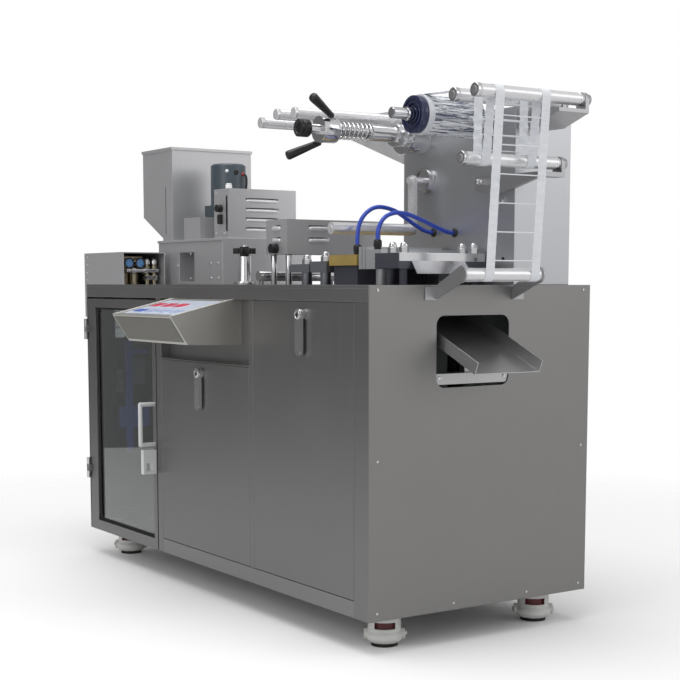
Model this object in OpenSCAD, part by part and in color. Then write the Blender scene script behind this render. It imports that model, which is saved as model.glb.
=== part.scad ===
/* [Cabinet] */
// Length of the cabinet from the feeder end to the discharge end
cab_l = 1455; // [1400:5:1550]
// Depth of the cabinet from the operator side to the back
cab_w = 626; // [610:2:680]
// Height of the cabinet from its underside to the deck
cab_h = 720; // [690:5:780]
// Height of the levelling casters under the cabinet
caster_h = 75; // [70:1:95]
// Thickness of the end sheets
sheet_t = 3; // [2:0.5:5]
// Thickness of the deck plate
deck_t = 8; // [5:1:12]
// Height of the top rail, deck plate included
rail_h = 36; // [30:1:44]
// Height of the bottom rail
sill_h = 38; // [32:1:46]
// Width of the corner posts
post_w = 56; // [48:1:64]
// Depth of the posts and top rails
frame_d = 40; // [34:1:46]
// Width of the post between the right and the middle bay
mullion_w = 19; // [16:1:24]
// Width of the post beside the glass door
door_post_w = 29; // [24:1:34]
// Width of the right bay
right_bay_w = 429; // [400:1:450]
// Width of the middle bay
middle_bay_w = 469; // [440:1:490]
// Thickness of the lift-off panels
panel_t = 12; // [8:1:16]
// Gap round the lift-off panels
panel_gap = 0.8; // [0.5:0.1:0.9]
// Height of the middle panel's top edge above the cabinet's underside
middle_panel_top = 523; // [500:1:540]
// Depth of the recess behind the control box
recess_d = 25; // [20:1:32]
/* [Door] */
// Thickness of the glass door
door_t = 20; // [16:1:24]
// Width of the door's hinge stile
hinge_stile_w = 51; // [44:1:58]
// Width of the door's handle stile
handle_stile_w = 20; // [18:1:26]
// Height of the door's top and bottom bars
door_bar_h = 30; // [26:1:36]
// Gap above the door and at its free edge
door_gap = 5; // [4:0.5:7]
// Thickness of the glass
glass_t = 5; // [4:0.5:8]
// Length of the pull handle
handle_l = 121; // [100:1:140]
// Distance of the grip from the door
handle_reach = 42; // [34:1:50]
// Radius of the handle bar
handle_r = 6; // [5:0.5:8]
/* [Control box] */
// Width of the control box
box_w = 325; // [290:1:350]
// How far the control box stands out in front of the cabinet
box_reach = 170; // [150:1:190]
// Height of the control box at its back
box_h = 117; // [100:1:130]
/* [Discharge] */
// Width of the window in the end sheet
window_w = 203; // [190:1:220]
// Height of the window in the end sheet
window_h = 156; // [140:1:170]
// Corner radius of the window
window_r = 21; // [14:1:30]
// Width of the discharge chute
chute_w = 180; // [160:1:184]
// Slope of the discharge chute
chute_slope = 23; // [18:1:27]
// Height of the chute's side walls
chute_wall_h = 28; // [20:1:34]
// How far the chute stands out of the end sheet
chute_reach = 128; // [105:1:130]
/* [Web and rollers] */
// Width of the film web
web_w = 150; // [130:1:160]
// Width of each edge strip of the punched web
strip_w = 23; // [16:1:30]
// Thickness of the web
web_t = 1; // [0.8:0.1:1.4]
// Radius of the idle rollers
roller_r = 14; // [11:0.5:15]
// Radius of the roller shafts
shaft_r = 7; // [5:0.5:9]
// Height of the lower roller's axis above the deck
lower_roller_z = 22; // [20:1:26]
// Distance of the lower roller's axis from the end sheet
lower_roller_x = 88; // [80:1:95]
// Height of the upper rollers' axes above the tower's top
upper_roller_rise = 7; // [2:1:17]
// Distance of the top roller's axis from the end sheet
top_roller_x = 115; // [108:1:120]
// Distance of the second roller's axis from the end sheet
second_roller_x = 43; // [38:1:48]
// Distance of the mid roller's axis from the end sheet
mid_roller_x = 71; // [66:1:76]
// Distance of the mid roller's axis below the tower's top
mid_roller_drop = 128; // [113:1:143]
// Radius of the wound film on the take-up reel
roll_r = 44; // [36:1:50]
/* [Tower] */
// Length of the tower
tower_l = 419; // [400:1:440]
// Depth of the tower
tower_w = 165; // [150:1:180]
// Height of the tower above the deck
tower_h = 393; // [385:1:400]
// Radius of the unwind tube
unwind_r = 19; // [16:0.5:22]
// Number of turns of the clamping spring
spring_turns = 9; // [6:1:12]
// Length of the unwind handles
unwind_handle_l = 100; // [80:1:110]
// Length of the dancer arm between its pins
dancer_l = 118; // [100:1:130]
/* [Feeder] */
// Width of the hopper along the machine
hopper_l = 188; // [170:1:200]
// Width of the hopper across the machine
hopper_w = 258; // [230:1:270]
// Height of the hopper's rim above the deck
hopper_h = 387; // [360:1:410]
// Thickness of the hopper's sheet
hopper_t = 3; // [2:0.5:4]
// Height of the feeder base
base_h = 124; // [110:1:135]
// Length of the feeder base
base_l = 380; // [360:1:390]
// Radius of the feeder motor
motor_r = 49; // [44:1:53]
/* [Stations] */
// Radius of the handwheel
handwheel_r = 30; // [25:1:34]
// Length of the heater cover across the machine
heater_w = 285; // [260:1:300]
// Height of the heater cover
heater_h = 86; // [75:1:95]
// Diameter of the air hoses
hose_d = 10; // [8:1:12]

/* [Hidden] */
$fn = 48;
steel = [0.62, 0.62, 0.62];
dark_steel = [0.42, 0.42, 0.43];
chrome = [0.82, 0.83, 0.85];
black = [0.08, 0.08, 0.09];
// Running gap between a roller and its shaft, and between film and rollers
run_gap = 0.1;
film_gap = 0.3;
eps = 0.01;

// Heights and the corners of the cabinet: x = 0 is the discharge end, y = 0 the operator side
cab_z = caster_h;
deck_z = cab_z + cab_h;
rail_z = deck_z - rail_h;
sill_z = cab_z + sill_h;
in_right = -sheet_t;
in_left = -cab_l + sheet_t;
end_cover_t = 10;
right_bay_r = -post_w;
right_bay_l = right_bay_r - right_bay_w;
middle_bay_r = right_bay_l - mullion_w;
middle_bay_l = middle_bay_r - middle_bay_w;
door_r = middle_bay_l - door_post_w;
hinge_x = -cab_l + 4;
hinge_y = -6;
door_l = hinge_x + 3;
door_back = door_t + 6;
sill_d = door_back + frame_d;

// The web's middle line and the row of rollers at the discharge end
web_y = 303;
web_y0 = web_y - web_w / 2;
web_y1 = web_y + web_w / 2;
roller_y0 = 182;
tower_y = 400;
tower_r = -8;
tower_left = tower_r - tower_l;
tower_z = deck_z + tower_h;
lower_axis = [lower_roller_x, deck_z + lower_roller_z];
top_axis = [top_roller_x, tower_z + upper_roller_rise];
second_axis = [second_roller_x, tower_z + upper_roller_rise - 2];
mid_axis = [mid_roller_x, tower_z - mid_roller_drop];
reel_axis = [tower_r - 122, tower_z - 18];
unwind_axis = [tower_left + 67, tower_z - 36];
dancer_axis = [tower_left + 90, tower_z - 144];

// The box of the whole machine, whose floor-level middle is the origin
reach_x = max(chute_reach, top_roller_x + roller_r + film_gap + web_t);
mid_x = (reach_x - cab_l - end_cover_t) / 2;
mid_y = (cab_w - box_reach) / 2;

module place() { translate([-mid_x, -mid_y, 0]) children(); }
// A block between two corners
module span(a, b) { translate(a) cube([b[0] - a[0], b[1] - a[1], b[2] - a[2]]); }
// A round bar along Y between two depths, on an axis given as [x, z]
module y_bar(axis, y0, y1, r) {
  translate([axis[0], y0, axis[1]]) rotate([-90, 0, 0]) cylinder(r = r, h = y1 - y0);
}
// A tube along Y on an axis given as [x, z]
module y_tube(axis, y0, y1, r, bore) {
  difference() {
    y_bar(axis, y0, y1, r);
    y_bar(axis, y0 - 1, y1 + 1, bore);
  }
}
// A flat shape drawn in X and Z, given thickness between two depths
module y_plate(y0, y1) { translate([0, y1, 0]) rotate([90, 0, 0]) linear_extrude(y1 - y0) children(); }
// A flat shape drawn in Y and Z, given thickness along X
module x_plate(x0, x1) {
  translate([x0, 0, 0]) rotate([90, 0, 90]) linear_extrude(x1 - x0) children();
}
// A rectangle with round corners
module round_rect(w, h, r) {
  union() {
    translate([r, 0]) square([w - 2 * r, h]);
    translate([0, r]) square([w, h - 2 * r]);
    for (x = [r, w - r]) for (y = [r, h - r]) translate([x, y]) circle(r);
  }
}

// Cabinet frame and skins
module posts() {
  color(steel) place() {
    span([in_right - post_w + sheet_t, 0, cab_z], [in_right, frame_d, rail_z]);
    span([in_left, door_back, cab_z], [in_left + post_w, sill_d, rail_z]);
    for (x = [in_left, in_right - post_w]) {
      span([x, cab_w - frame_d, cab_z], [x + post_w, cab_w, rail_z]);
    }
    span([middle_bay_r, 0, sill_z], [right_bay_l, frame_d, rail_z]);
    span([door_r, 0, cab_z], [middle_bay_l, frame_d, rail_z]);
    span([middle_bay_r, cab_w - frame_d, sill_z], [right_bay_l, cab_w, rail_z]);
    span([door_r, cab_w - frame_d, sill_z], [middle_bay_l, cab_w, rail_z]);
  }
}
module long_rails() {
  color(steel) place() {
    for (y = [0, cab_w - frame_d]) {
      span([in_left, y, rail_z], [in_right, y + frame_d, deck_z - deck_t]);
    }
    span([middle_bay_l, 0, cab_z], [-post_w, sill_d, sill_z]);
    span([in_left + post_w, door_back, cab_z], [door_r, sill_d, cab_z + door_bar_h]);
    span([in_left + post_w, cab_w - frame_d, cab_z], [in_right - post_w, cab_w, sill_z]);
  }
}
module end_rails() {
  color(steel) place() for (x = [in_left, in_right - frame_d]) {
    span([x, frame_d, rail_z], [x + frame_d, cab_w - frame_d, deck_z - deck_t]);
    span([x, sill_d, cab_z], [x + frame_d, cab_w - frame_d, sill_z]);
  }
}
module floor_pan() {
  color(steel) place() {
    span([in_left + frame_d, sill_d, cab_z], [in_right - frame_d, cab_w - frame_d, cab_z + sheet_t]);
  }
}
module deck_plate() {
  color(steel) place() span([in_left, 0, deck_z - deck_t], [in_right, cab_w, deck_z]);
}
window_y = 178;
window_z = deck_z - 222;
module end_panel() {
  color(steel) place() difference() {
    span([in_right, 0, cab_z], [0, cab_w, deck_z]);
    x_plate(in_right - 1, 1) translate([window_y, window_z]) round_rect(window_w, window_h, window_r);
  }
}
module side_panels() {
  color(steel) place() {
    span([-cab_l, 0, cab_z], [in_left, cab_w, deck_z]);
    bays = [[in_left + post_w, door_r], [middle_bay_l, middle_bay_r], [right_bay_l, in_right - post_w]];
    for (b = bays) {
      span([b[0] + panel_gap, cab_w - panel_t, sill_z + panel_gap],
        [b[1] - panel_gap, cab_w, rail_z - panel_gap]);
    }
  }
}
module front_panels() {
  color(steel) place() {
    span([right_bay_l + panel_gap, 0, sill_z + panel_gap],
      [right_bay_r - panel_gap, panel_t, rail_z - panel_gap]);
    span([middle_bay_l + panel_gap, 0, sill_z + panel_gap],
      [middle_bay_r - panel_gap, panel_t, cab_z + middle_panel_top]);
    span([middle_bay_l, recess_d, cab_z + middle_panel_top + panel_gap],
      [middle_bay_r, recess_d + sheet_t, rail_z]);
    span([middle_bay_l, 0, cab_z + middle_panel_top + panel_gap],
      [middle_bay_r, recess_d + eps, cab_z + middle_panel_top + panel_gap + sheet_t]);
  }
}

// Glass door on two knuckle hinges
hinge_r = 5;
hinge_pin_r = 2.5;
hinge_leaf_t = 2;
knuckle_h = 20;
hinge_zs = [cab_z + 150, deck_z - 160];
module knuckle(z, r, h) { translate([hinge_x, hinge_y, z]) cylinder(r = r, h = h); }
module door_hinges() {
  color(chrome) place() for (z = hinge_zs) {
    for (k = [0, 2]) {
      knuckle(z + k * knuckle_h, hinge_r, knuckle_h);
      span([-cab_l - hinge_leaf_t, hinge_y, z + k * knuckle_h], [-cab_l, 24, z + (k + 1) * knuckle_h]);
      span([-cab_l - hinge_leaf_t, hinge_y - 1.5, z + k * knuckle_h],
        [hinge_x, hinge_y + 1.5, z + (k + 1) * knuckle_h]);
    }
    knuckle(z + knuckle_h - eps, hinge_pin_r, knuckle_h + 2 * eps);
  }
}
module door_frame() {
  color(steel) place() difference() {
    union() {
      span([door_l, 0, cab_z], [door_r - door_gap, door_t, rail_z - door_gap]);
      for (z = hinge_zs) {
        knuckle(z + knuckle_h + 0.5, hinge_r, knuckle_h - 1);
        span([hinge_x, hinge_y, z + knuckle_h + 0.5], [door_l + 12, eps, z + 2 * knuckle_h - 0.5]);
      }
    }
    span([door_l + hinge_stile_w, -1, cab_z + door_bar_h],
      [door_r - door_gap - handle_stile_w, door_t + 1, rail_z - door_bar_h]);
    for (z = hinge_zs) {
      knuckle(z, hinge_pin_r + run_gap, 3 * knuckle_h);
      for (k = [0, 2]) knuckle(z + k * knuckle_h - 0.5, hinge_r + 0.5, knuckle_h + 1);
    }
  }
}
module door_glass() {
  color([0.6, 0.68, 0.7, 0.35]) place() {
    span([door_l + hinge_stile_w, door_t - 2 * glass_t, cab_z + door_bar_h],
      [door_r - door_gap - handle_stile_w, door_t - glass_t, rail_z - door_bar_h]);
  }
}
handle_x = door_r - door_gap - handle_stile_w / 2;
handle_z = cab_z + 284;
latch_h = 66;
module door_handle() {
  color([0.85, 0.86, 0.86]) place() {
    for (z = [handle_z + handle_r, handle_z + handle_l - handle_r]) {
      translate([handle_x, -handle_reach, z]) rotate([-90, 0, 0]) cylinder(r = handle_r, h = handle_reach);
      translate([handle_x, -handle_reach, z]) sphere(handle_r);
    }
    translate([handle_x, -handle_reach, handle_z + handle_r]) {
      cylinder(r = handle_r, h = handle_l - 2 * handle_r);
    }
    translate([handle_x - 8, -38, handle_z - latch_h - 8]) difference() {
      cube([16, 38, latch_h]);
      translate([-1, 8, 8]) cube([18, 18, 22]);
    }
  }
}

// Lever locks on the lift-off panels
lever_w = 22;
lever_l = 92;
lever_t = 9;
lever_stand = 5;
lever_boss_r = 14;
module lever(x, z) {
  place() {
    translate([x, -lever_stand - lever_t, z]) rotate([-90, 0, 0]) {
      cylinder(r = lever_boss_r, h = lever_t + lever_stand - film_gap);
    }
    y_plate(-lever_stand - lever_t, -lever_stand) {
      translate([x - lever_w / 2, z - lever_l + lever_w / 2]) square([lever_w, lever_l - lever_w / 2]);
      translate([x, z - lever_l + lever_w / 2]) circle(lever_w / 2);
    }
  }
}
middle_lever_at = [(middle_bay_l + middle_bay_r) / 2 - 9, cab_z + middle_panel_top - 27];
right_lever_at = [(right_bay_l + right_bay_r) / 2 + 8, rail_z - 30];
module middle_lever() { color(chrome) lever(middle_lever_at[0], middle_lever_at[1]); }
module right_lever() { color(chrome) lever(right_lever_at[0], right_lever_at[1]); }

// Drive seen through the glass
drive_x = in_left + frame_d + 32;
drive_y = 240;
drive_s = [170, 160, 190];
drive_motor_r = 70;
drive_motor_l = 160;
hung_s = [120, 130, 178];
module inner_drive() {
  pan_z = cab_z + sheet_t;
  color(dark_steel) place() {
    translate([drive_x, drive_y, pan_z]) {
      cube(drive_s);
      translate([drive_s[0] - eps, drive_s[1] / 2, drive_s[2] / 2]) rotate([0, 90, 0]) {
        cylinder(r = drive_motor_r, h = drive_motor_l);
      }
    }
    translate([in_left + frame_d + 12, 200, deck_z - deck_t - hung_s[2]]) cube(hung_s);
  }
}

// Control box: a wedge with a sloping keypad, hung in the recess
box_r = middle_bay_r - 76;
box_l = box_r - box_w;
box_top = rail_z + 6;
box_front_top = box_top - 45;
box_bottom = box_top - box_h;
box_foot = 45;
box_fall = box_top - box_front_top;
pad_slope = atan(box_fall / (box_reach + recess_d));
pad_rim = 14;
pad_recess = 4;
pad_clear = 0.5;
pad_t = 2;
pad_back = 10;
pad_s = [box_w - 2 * pad_rim, (box_reach - pad_back) / cos(pad_slope) - pad_rim];
key_t = 1.2;
// Red keys in the upper row and blue keys in the lower one: first corner, size, pitch and number
key_rows = [[[14, 78], [46, 34], 62, 3], [[22, 26], [52, 24], 66, 4]];
// Puts a piece into the recess of the sloping top, with x along the box and y up the slope
module in_recess() {
  translate([box_l, -box_reach, box_front_top]) rotate([pad_slope, 0, 0])
  translate([pad_rim, pad_rim, -pad_recess]) children();
}
module control_box() {
  color(steel) place() difference() {
    x_plate(box_l, box_r) polygon([[recess_d, box_top], [-box_reach, box_front_top],
      [-box_reach + box_foot, box_bottom + 4], [recess_d, box_bottom]]);
    span([box_l - 1, -1, rail_z], [box_r + 1, recess_d + 1, box_top + 1]);
    in_recess() cube([pad_s[0], pad_s[1], 2 * pad_recess]);
  }
}
module control_keypad() {
  color([0.85, 0.88, 0.92]) place() in_recess() translate([pad_clear, pad_clear, run_gap]) {
    cube([pad_s[0] - 2 * pad_clear, pad_s[1] - 2 * pad_clear, pad_t]);
    for (row = key_rows) for (i = [0:row[3] - 1]) {
      translate([row[0][0] + i * row[2], row[0][1], pad_t - eps]) cube([row[1][0], row[1][1], key_t]);
    }
  }
}

// Levelling casters
caster_in = [75, 95];
caster_at = [for (x = [-caster_in[0], -cab_l + caster_in[0]])
  for (y = [caster_in[1], cab_w - caster_in[1]]) [x, y]];
caster_body_z = 9;
caster_foot_h = 25;
caster_foot_r = 42;
caster_neck_r = 37;
caster_plate_t = 4;
caster_swivel_h = 6;
caster_swivel_r = 28;
caster_plate_w = 76;
caster_heading = -33;
caster_boss_r = 13;
caster_boss_reach = 46;
caster_window = [46, 17];
caster_ring_z = 40;
caster_ring_r = 31;
caster_neck_top = caster_h - caster_plate_t - caster_swivel_h;
pad_r = 30;
// Cast body with a flared foot, an axle boss on each side and a window for the thumb ring
module caster_body() {
  foot_top = caster_body_z + caster_foot_h;
  plate_z = caster_h - caster_plate_t;
  ring_room = caster_window[1] + 2 * run_gap;
  difference() {
    union() {
      rotate_extrude() polygon([[0, caster_body_z], [caster_foot_r - 7, caster_body_z],
        [caster_foot_r, caster_body_z + 8], [caster_foot_r, foot_top - 6], [caster_neck_r, foot_top],
        [caster_neck_r, caster_neck_top], [caster_swivel_r, caster_neck_top], [caster_swivel_r, plate_z + 1],
        [0, plate_z + 1]]);
      translate([0, -caster_boss_reach, caster_body_z + caster_boss_r + 3]) rotate([-90, 22.5, 0]) {
        cylinder(r = caster_boss_r, h = 2 * caster_boss_reach, $fn = 8);
      }
    }
    translate([0, 0, caster_ring_z]) cylinder(r = caster_ring_r + film_gap, h = ring_room);
    translate([-caster_foot_r, -caster_window[0] / 2, caster_ring_z + 1]) {
      cube([2 * caster_foot_r, caster_window[0], ring_room - 2]);
    }
  }
  translate([-caster_plate_w / 2, -caster_plate_w / 2, plate_z]) {
    cube([caster_plate_w, caster_plate_w, caster_plate_t]);
  }
}
module caster_bodies() {
  color([0.66, 0.66, 0.65]) place() for (c = caster_at) {
    translate([c[0], c[1], 0]) rotate(caster_heading) caster_body();
  }
}
module caster_pads() {
  color(black) place() for (c = caster_at) {
    translate([c[0], c[1], 0]) cylinder(r = pad_r, h = caster_body_z);
  }
}
module caster_rings() {
  color([0.5, 0.08, 0.1]) place() for (c = caster_at) {
    translate([c[0], c[1], caster_ring_z + run_gap]) cylinder(r = caster_ring_r, h = caster_window[1]);
  }
}

// Air preparation unit at the feeder end of the deck
air_r = -cab_l + 255;
air_w = 130;
air_h = 90;
air_t = 3;
air_drop = 95;
module air_cover() {
  color(steel) place() {
    difference() {
      span([-cab_l, 0, deck_z], [air_r, air_w, deck_z + air_h]);
      span([-cab_l + air_t, air_t, deck_z - 1], [air_r + 1, air_w - air_t, deck_z + air_h - air_t]);
    }
    span([-cab_l - end_cover_t, 0, deck_z - air_drop], [-cab_l, air_w, deck_z + air_h]);
  }
}
gauge_r = 14;
gauge_l = 20;
gauge_z = deck_z + 60;
air_body_l = 50;
air_body_x = air_r - 40 - air_body_l;
air_body_r = air_body_x + air_body_l;
air_body_z = deck_z + 36;
air_bowl_ys = [28, 62];
bowl_r = 16;
valve_x = air_body_r + 8;
valve_ys = [88, 110];
valve_h = 66;
module air_gauges() {
  color([0.3, 0.4, 0.75]) place() for (y = air_bowl_ys) {
    translate([air_body_r, y, gauge_z]) rotate([0, 90, 0]) {
      cylinder(r = 6, h = 6);
      translate([0, 0, 6 - eps]) cylinder(r = gauge_r, h = gauge_l - 6);
    }
  }
}
module air_filters() {
  color([0.72, 0.66, 0.5]) place() {
    span([air_body_x, 12, air_body_z], [air_body_r, 78, deck_z + 78]);
    for (y = air_bowl_ys) translate([air_body_x + air_body_l / 2, y, deck_z]) {
      cylinder(r = bowl_r, h = air_body_z - deck_z + eps);
    }
    y_bar([air_body_x + air_body_l / 2, air_body_z + 22], 78 - eps, valve_ys[1] + 8, 9);
    for (y = valve_ys) translate([valve_x, y, deck_z]) {
      cylinder(r = 6, h = valve_h);
      translate([0, 0, 12]) cylinder(r = 10, h = 14, $fn = 6);
      translate([0, 0, valve_h - 22]) cylinder(r = 9, h = 8);
      translate([0, 0, valve_h]) sphere(8);
      translate([-33, 0, air_body_z + 22 - deck_z]) rotate([0, 90, 0]) cylinder(r = 5, h = 33);
    }
  }
}

// Tablet feeder: base, hopper, gear motor and covers
base_right = -900;
base_left = base_right - base_l;
base_y = 150;
base_w = 280;
base_z = deck_z + base_h;
base_lip = 4;
base_lip_h = 7;
pocket_x = 128;
pocket_s = [90, 60, 80];
module feeder_base() {
  color(steel) place() difference() {
    union() {
      span([base_left, base_y, deck_z], [base_right, base_y + base_w, base_z]);
      span([base_left, base_y - base_lip, base_z - base_lip_h], [base_right, base_y + eps, base_z]);
    }
    span([base_left + pocket_x, base_y - 1, deck_z + 8],
      [base_left + pocket_x + pocket_s[0], base_y + pocket_s[1], deck_z + 8 + pocket_s[2]]);
  }
}
hopper_r = base_left + 60;
hopper_y = base_y + (base_w - hopper_w) / 2 + 5;
hopper_neck_l = base_left - 3;
hopper_slope_z = base_z + 71;
hopper_top = deck_z + hopper_h;
// Outline of the hopper seen from the operator side, drawn in by t
module hopper_outline(t) {
  rim_z = hopper_top + (t > 0 ? 1 : 0);
  polygon([[hopper_r - hopper_l + t, rim_z], [hopper_r - t, rim_z], [hopper_r - t, base_z + t],
    [hopper_neck_l + t, base_z + t],
    [hopper_neck_l + t, base_z + 8], [hopper_r - hopper_l + t, hopper_slope_z + t * 0.5]]);
}
module hopper() {
  color([0.66, 0.67, 0.68]) place() difference() {
    union() {
      y_plate(hopper_y, hopper_y + hopper_w) hopper_outline(0);
      span([hopper_r - hopper_l - 3, hopper_y - 3, hopper_top - 8],
        [hopper_r + 3, hopper_y + hopper_w + 3, hopper_top]);
    }
    y_plate(hopper_y + hopper_t, hopper_y + hopper_w - hopper_t) hopper_outline(hopper_t);
  }
}
motor_at = [base_left + 184, base_y + 128];
motor_h = 205;
gearbox_h = 96;
module feeder_motor() {
  color([0.26, 0.31, 0.36]) place() translate([motor_at[0], motor_at[1], base_z]) {
    cylinder(r = motor_r, h = motor_h);
    translate([0, 0, motor_h]) cylinder(r1 = motor_r, r2 = motor_r - 6, h = 5);
    translate([-motor_r, -motor_r, 0]) cube([2 * motor_r, 2 * motor_r, gearbox_h]);
  }
}
cover_l = 80;
cover_y = 180;
cover_w = 212;
cover_r = base_right - 20;
cover_h = 132;
louvre_n = 4;
louvre_pitch = 26;
louvre_w = 110;
louvre_r = 15;
louvre_out = 7;
slit_h = 2.5;
slit_d = 22;
// The cut of a louvre pressed into a face at x = 0: a scoop with round ends under a deep slit
module louvre_cut(w) {
  translate([louvre_out, 0, 0]) difference() {
    union() {
      translate([0, -w / 2 + louvre_r, 0]) rotate([-90, 0, 0]) cylinder(r = louvre_r, h = w - 2 * louvre_r);
      for (y = [-w / 2 + louvre_r, w / 2 - louvre_r]) translate([0, y, 0]) sphere(louvre_r);
    }
    translate([-louvre_r - 1, -w / 2 - 1, 0]) cube([2 * louvre_r + 2, w + 2, louvre_r + 1]);
  }
  translate([-slit_d, -w / 2 + louvre_r, -slit_h]) cube([slit_d + 1, w - 2 * louvre_r, slit_h]);
}
plate_gap_w = 7;
plate_gap_d = 8;
module feeder_covers() {
  color(steel) place() {
    difference() {
      span([cover_r - cover_l, cover_y, base_z], [cover_r, cover_y + cover_w, base_z + cover_h]);
      for (i = [0:louvre_n - 1]) {
        translate([cover_r, cover_y + cover_w / 2, base_z + cover_h - 24 - i * louvre_pitch]) {
          louvre_cut(louvre_w);
        }
      }
      span([cover_r - 5 - plate_gap_w, cover_y - 1, base_z + 18],
        [cover_r - 5, cover_y + plate_gap_d, base_z + cover_h - 18]);
    }
    translate([cover_r - 26, cover_y + 16, base_z + cover_h - eps]) cylinder(r = 8, h = 12);
    span([base_left + 140, base_y + 10, base_z], [base_left + 235, base_y + 55, base_z + 60]);
  }
}
heater_l = 100;
heater_r = -590;
heater_y = web_y - heater_w / 2;
heater_z = deck_z + 76;
module knobs() {
  color(black) place() {
    y_bar([cover_r - cover_l / 2, base_z + 80], cover_y - 16, cover_y, 10);
    y_bar([cover_r - cover_l / 2, base_z + 50], cover_y - 8, cover_y, 7);
    y_bar([heater_r - heater_l / 2, heater_z + 14], heater_y - 18, heater_y, 12);
  }
}

// Forming, sealing and punching stations along the web
column_at = [-740, 125];
column_h = 72;
column_r = 17;
film_bar = [-728, deck_z + 22];
film_bar_ys = [158, 392];
film_bar_r = 13;
heater_post_at = [for (x = [heater_r - heater_l + 14, heater_r - 14])
  for (y = [heater_y + 14, heater_y + heater_w - 14]) [x, y]];
module support_columns() {
  color(chrome) place() {
    translate([column_at[0], column_at[1], deck_z]) {
      cylinder(r = 28, h = 8);
      cylinder(r = column_r, h = column_h);
      cylinder(r = 6, h = column_h + 28);
    }
    for (p = heater_post_at) translate([p[0], p[1], deck_z]) cylinder(r = 8, h = heater_z - deck_z);
    y_bar(film_bar, film_bar_ys[0], film_bar_ys[1], film_bar_r);
    for (y = [film_bar_ys[0] + 10, film_bar_ys[1] - 10]) {
      translate([film_bar[0], y, deck_z]) cylinder(r = 6, h = film_bar[1] - deck_z);
    }
  }
}
lobe_n = 8;
lobe_r = 7;
module handwheel() {
  color(black) place() translate([column_at[0], column_at[1], deck_z + column_h + film_gap]) difference() {
    union() {
      cylinder(r = 12, h = 24);
      translate([0, 0, 6]) linear_extrude(14) {
        circle(handwheel_r - 5);
        for (i = [0:lobe_n - 1]) rotate(i * 360 / lobe_n) translate([handwheel_r - lobe_r, 0]) circle(lobe_r);
      }
    }
    translate([0, 0, -1]) cylinder(r = 6 + run_gap, h = 30);
  }
}
heater_slot_w = 42;
heater_louvre_w = 66;
heater_slot_pitch = 30;
module heater_cover() {
  color(steel) place() difference() {
    span([heater_r - heater_l, heater_y, heater_z], [heater_r, heater_y + heater_w, heater_z + heater_h]);
    for (i = [0, 1]) translate([0, 0, heater_z + heater_h - 14 - i * heater_slot_pitch]) {
      translate([heater_r, heater_y + 95, 0]) louvre_cut(heater_louvre_w);
      translate([heater_r - heater_l / 2, heater_y, 0]) rotate(-90) louvre_cut(heater_slot_w);
    }
  }
}
bar_xs = [[-575, -487], [-482, -411]];
bar_z = deck_z + 30;
bar_ts = [20, 26];
bar_y0 = 160;
bar_y1 = 394;
post_ys = [bar_y0 + 22, bar_y1 - 22];
nut_r = 12;
module forming_station() {
  color([0.55, 0.57, 0.6]) place() for (i = [0, 1]) {
    span([bar_xs[i][0], bar_y0, bar_z], [bar_xs[i][1], bar_y1, bar_z + bar_ts[i]]);
    for (y = post_ys) {
      translate([(bar_xs[i][0] + bar_xs[i][1]) / 2, y, deck_z]) cylinder(r = 13, h = bar_z - deck_z + eps);
    }
  }
}
board_x = [-406, -290];
board_z = deck_z + 45;
board_t = 25;
st_y0 = 165;
st_y1 = 388;
module sealing_table() {
  color(dark_steel) place() {
    span([board_x[0] + 6, st_y0 + 10, deck_z], [board_x[1] - 10, st_y1 - 10, board_z]);
  }
}
module forming_board() {
  color([0.54, 0.45, 0.27]) place() {
    span([board_x[0], st_y0, board_z], [board_x[1], st_y1, board_z + board_t]);
  }
}
seal_x = [-252, -190];
seal_z = deck_z + 36;
seal_top = deck_z + 80;
seal_plate_top = deck_z + 87;
seal_plate_t = 12;
seal_plate_pitch = 14;
seal_core_in = 8;
module sealing_block() {
  color([0.72, 0.73, 0.74]) place() {
    span([seal_x[0], st_y0, seal_z], [seal_x[1], st_y1, seal_top]);
    span([seal_x[0] - 2 * seal_plate_pitch, st_y0 + seal_core_in, seal_z],
      [seal_x[0] + eps, st_y1 - seal_core_in, seal_top]);
    for (i = [1, 2]) translate([seal_x[0] - i * seal_plate_pitch, st_y0, seal_z]) {
      cube([seal_plate_t, st_y1 - st_y0, seal_plate_top - seal_z]);
    }
    for (y = [st_y0 + 24, st_y1 - 24]) {
      translate([(seal_x[0] + seal_x[1]) / 2, y, deck_z]) cylinder(r = 14, h = seal_z - deck_z + eps);
    }
  }
}
punch_x = [-187, -95];
punch_y0 = 146;
die_z = deck_z + 36;
punch_z = deck_z + 52;
punch_t = 19;
module die_block() {
  color(dark_steel) place() {
    span([punch_x[0], punch_y0, die_z], [punch_x[1], st_y1, punch_z]);
    for (x = [punch_x[0] + 30, punch_x[1] - 12]) for (y = [punch_y0 + 20, st_y1 - 24]) {
      translate([x, y, deck_z]) cylinder(r = 9, h = die_z - deck_z + eps);
    }
  }
}
module punch_bar() {
  color(chrome) place() {
    span([punch_x[0], punch_y0, punch_z], [punch_x[1], st_y1, punch_z + punch_t]);
  }
}
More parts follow.
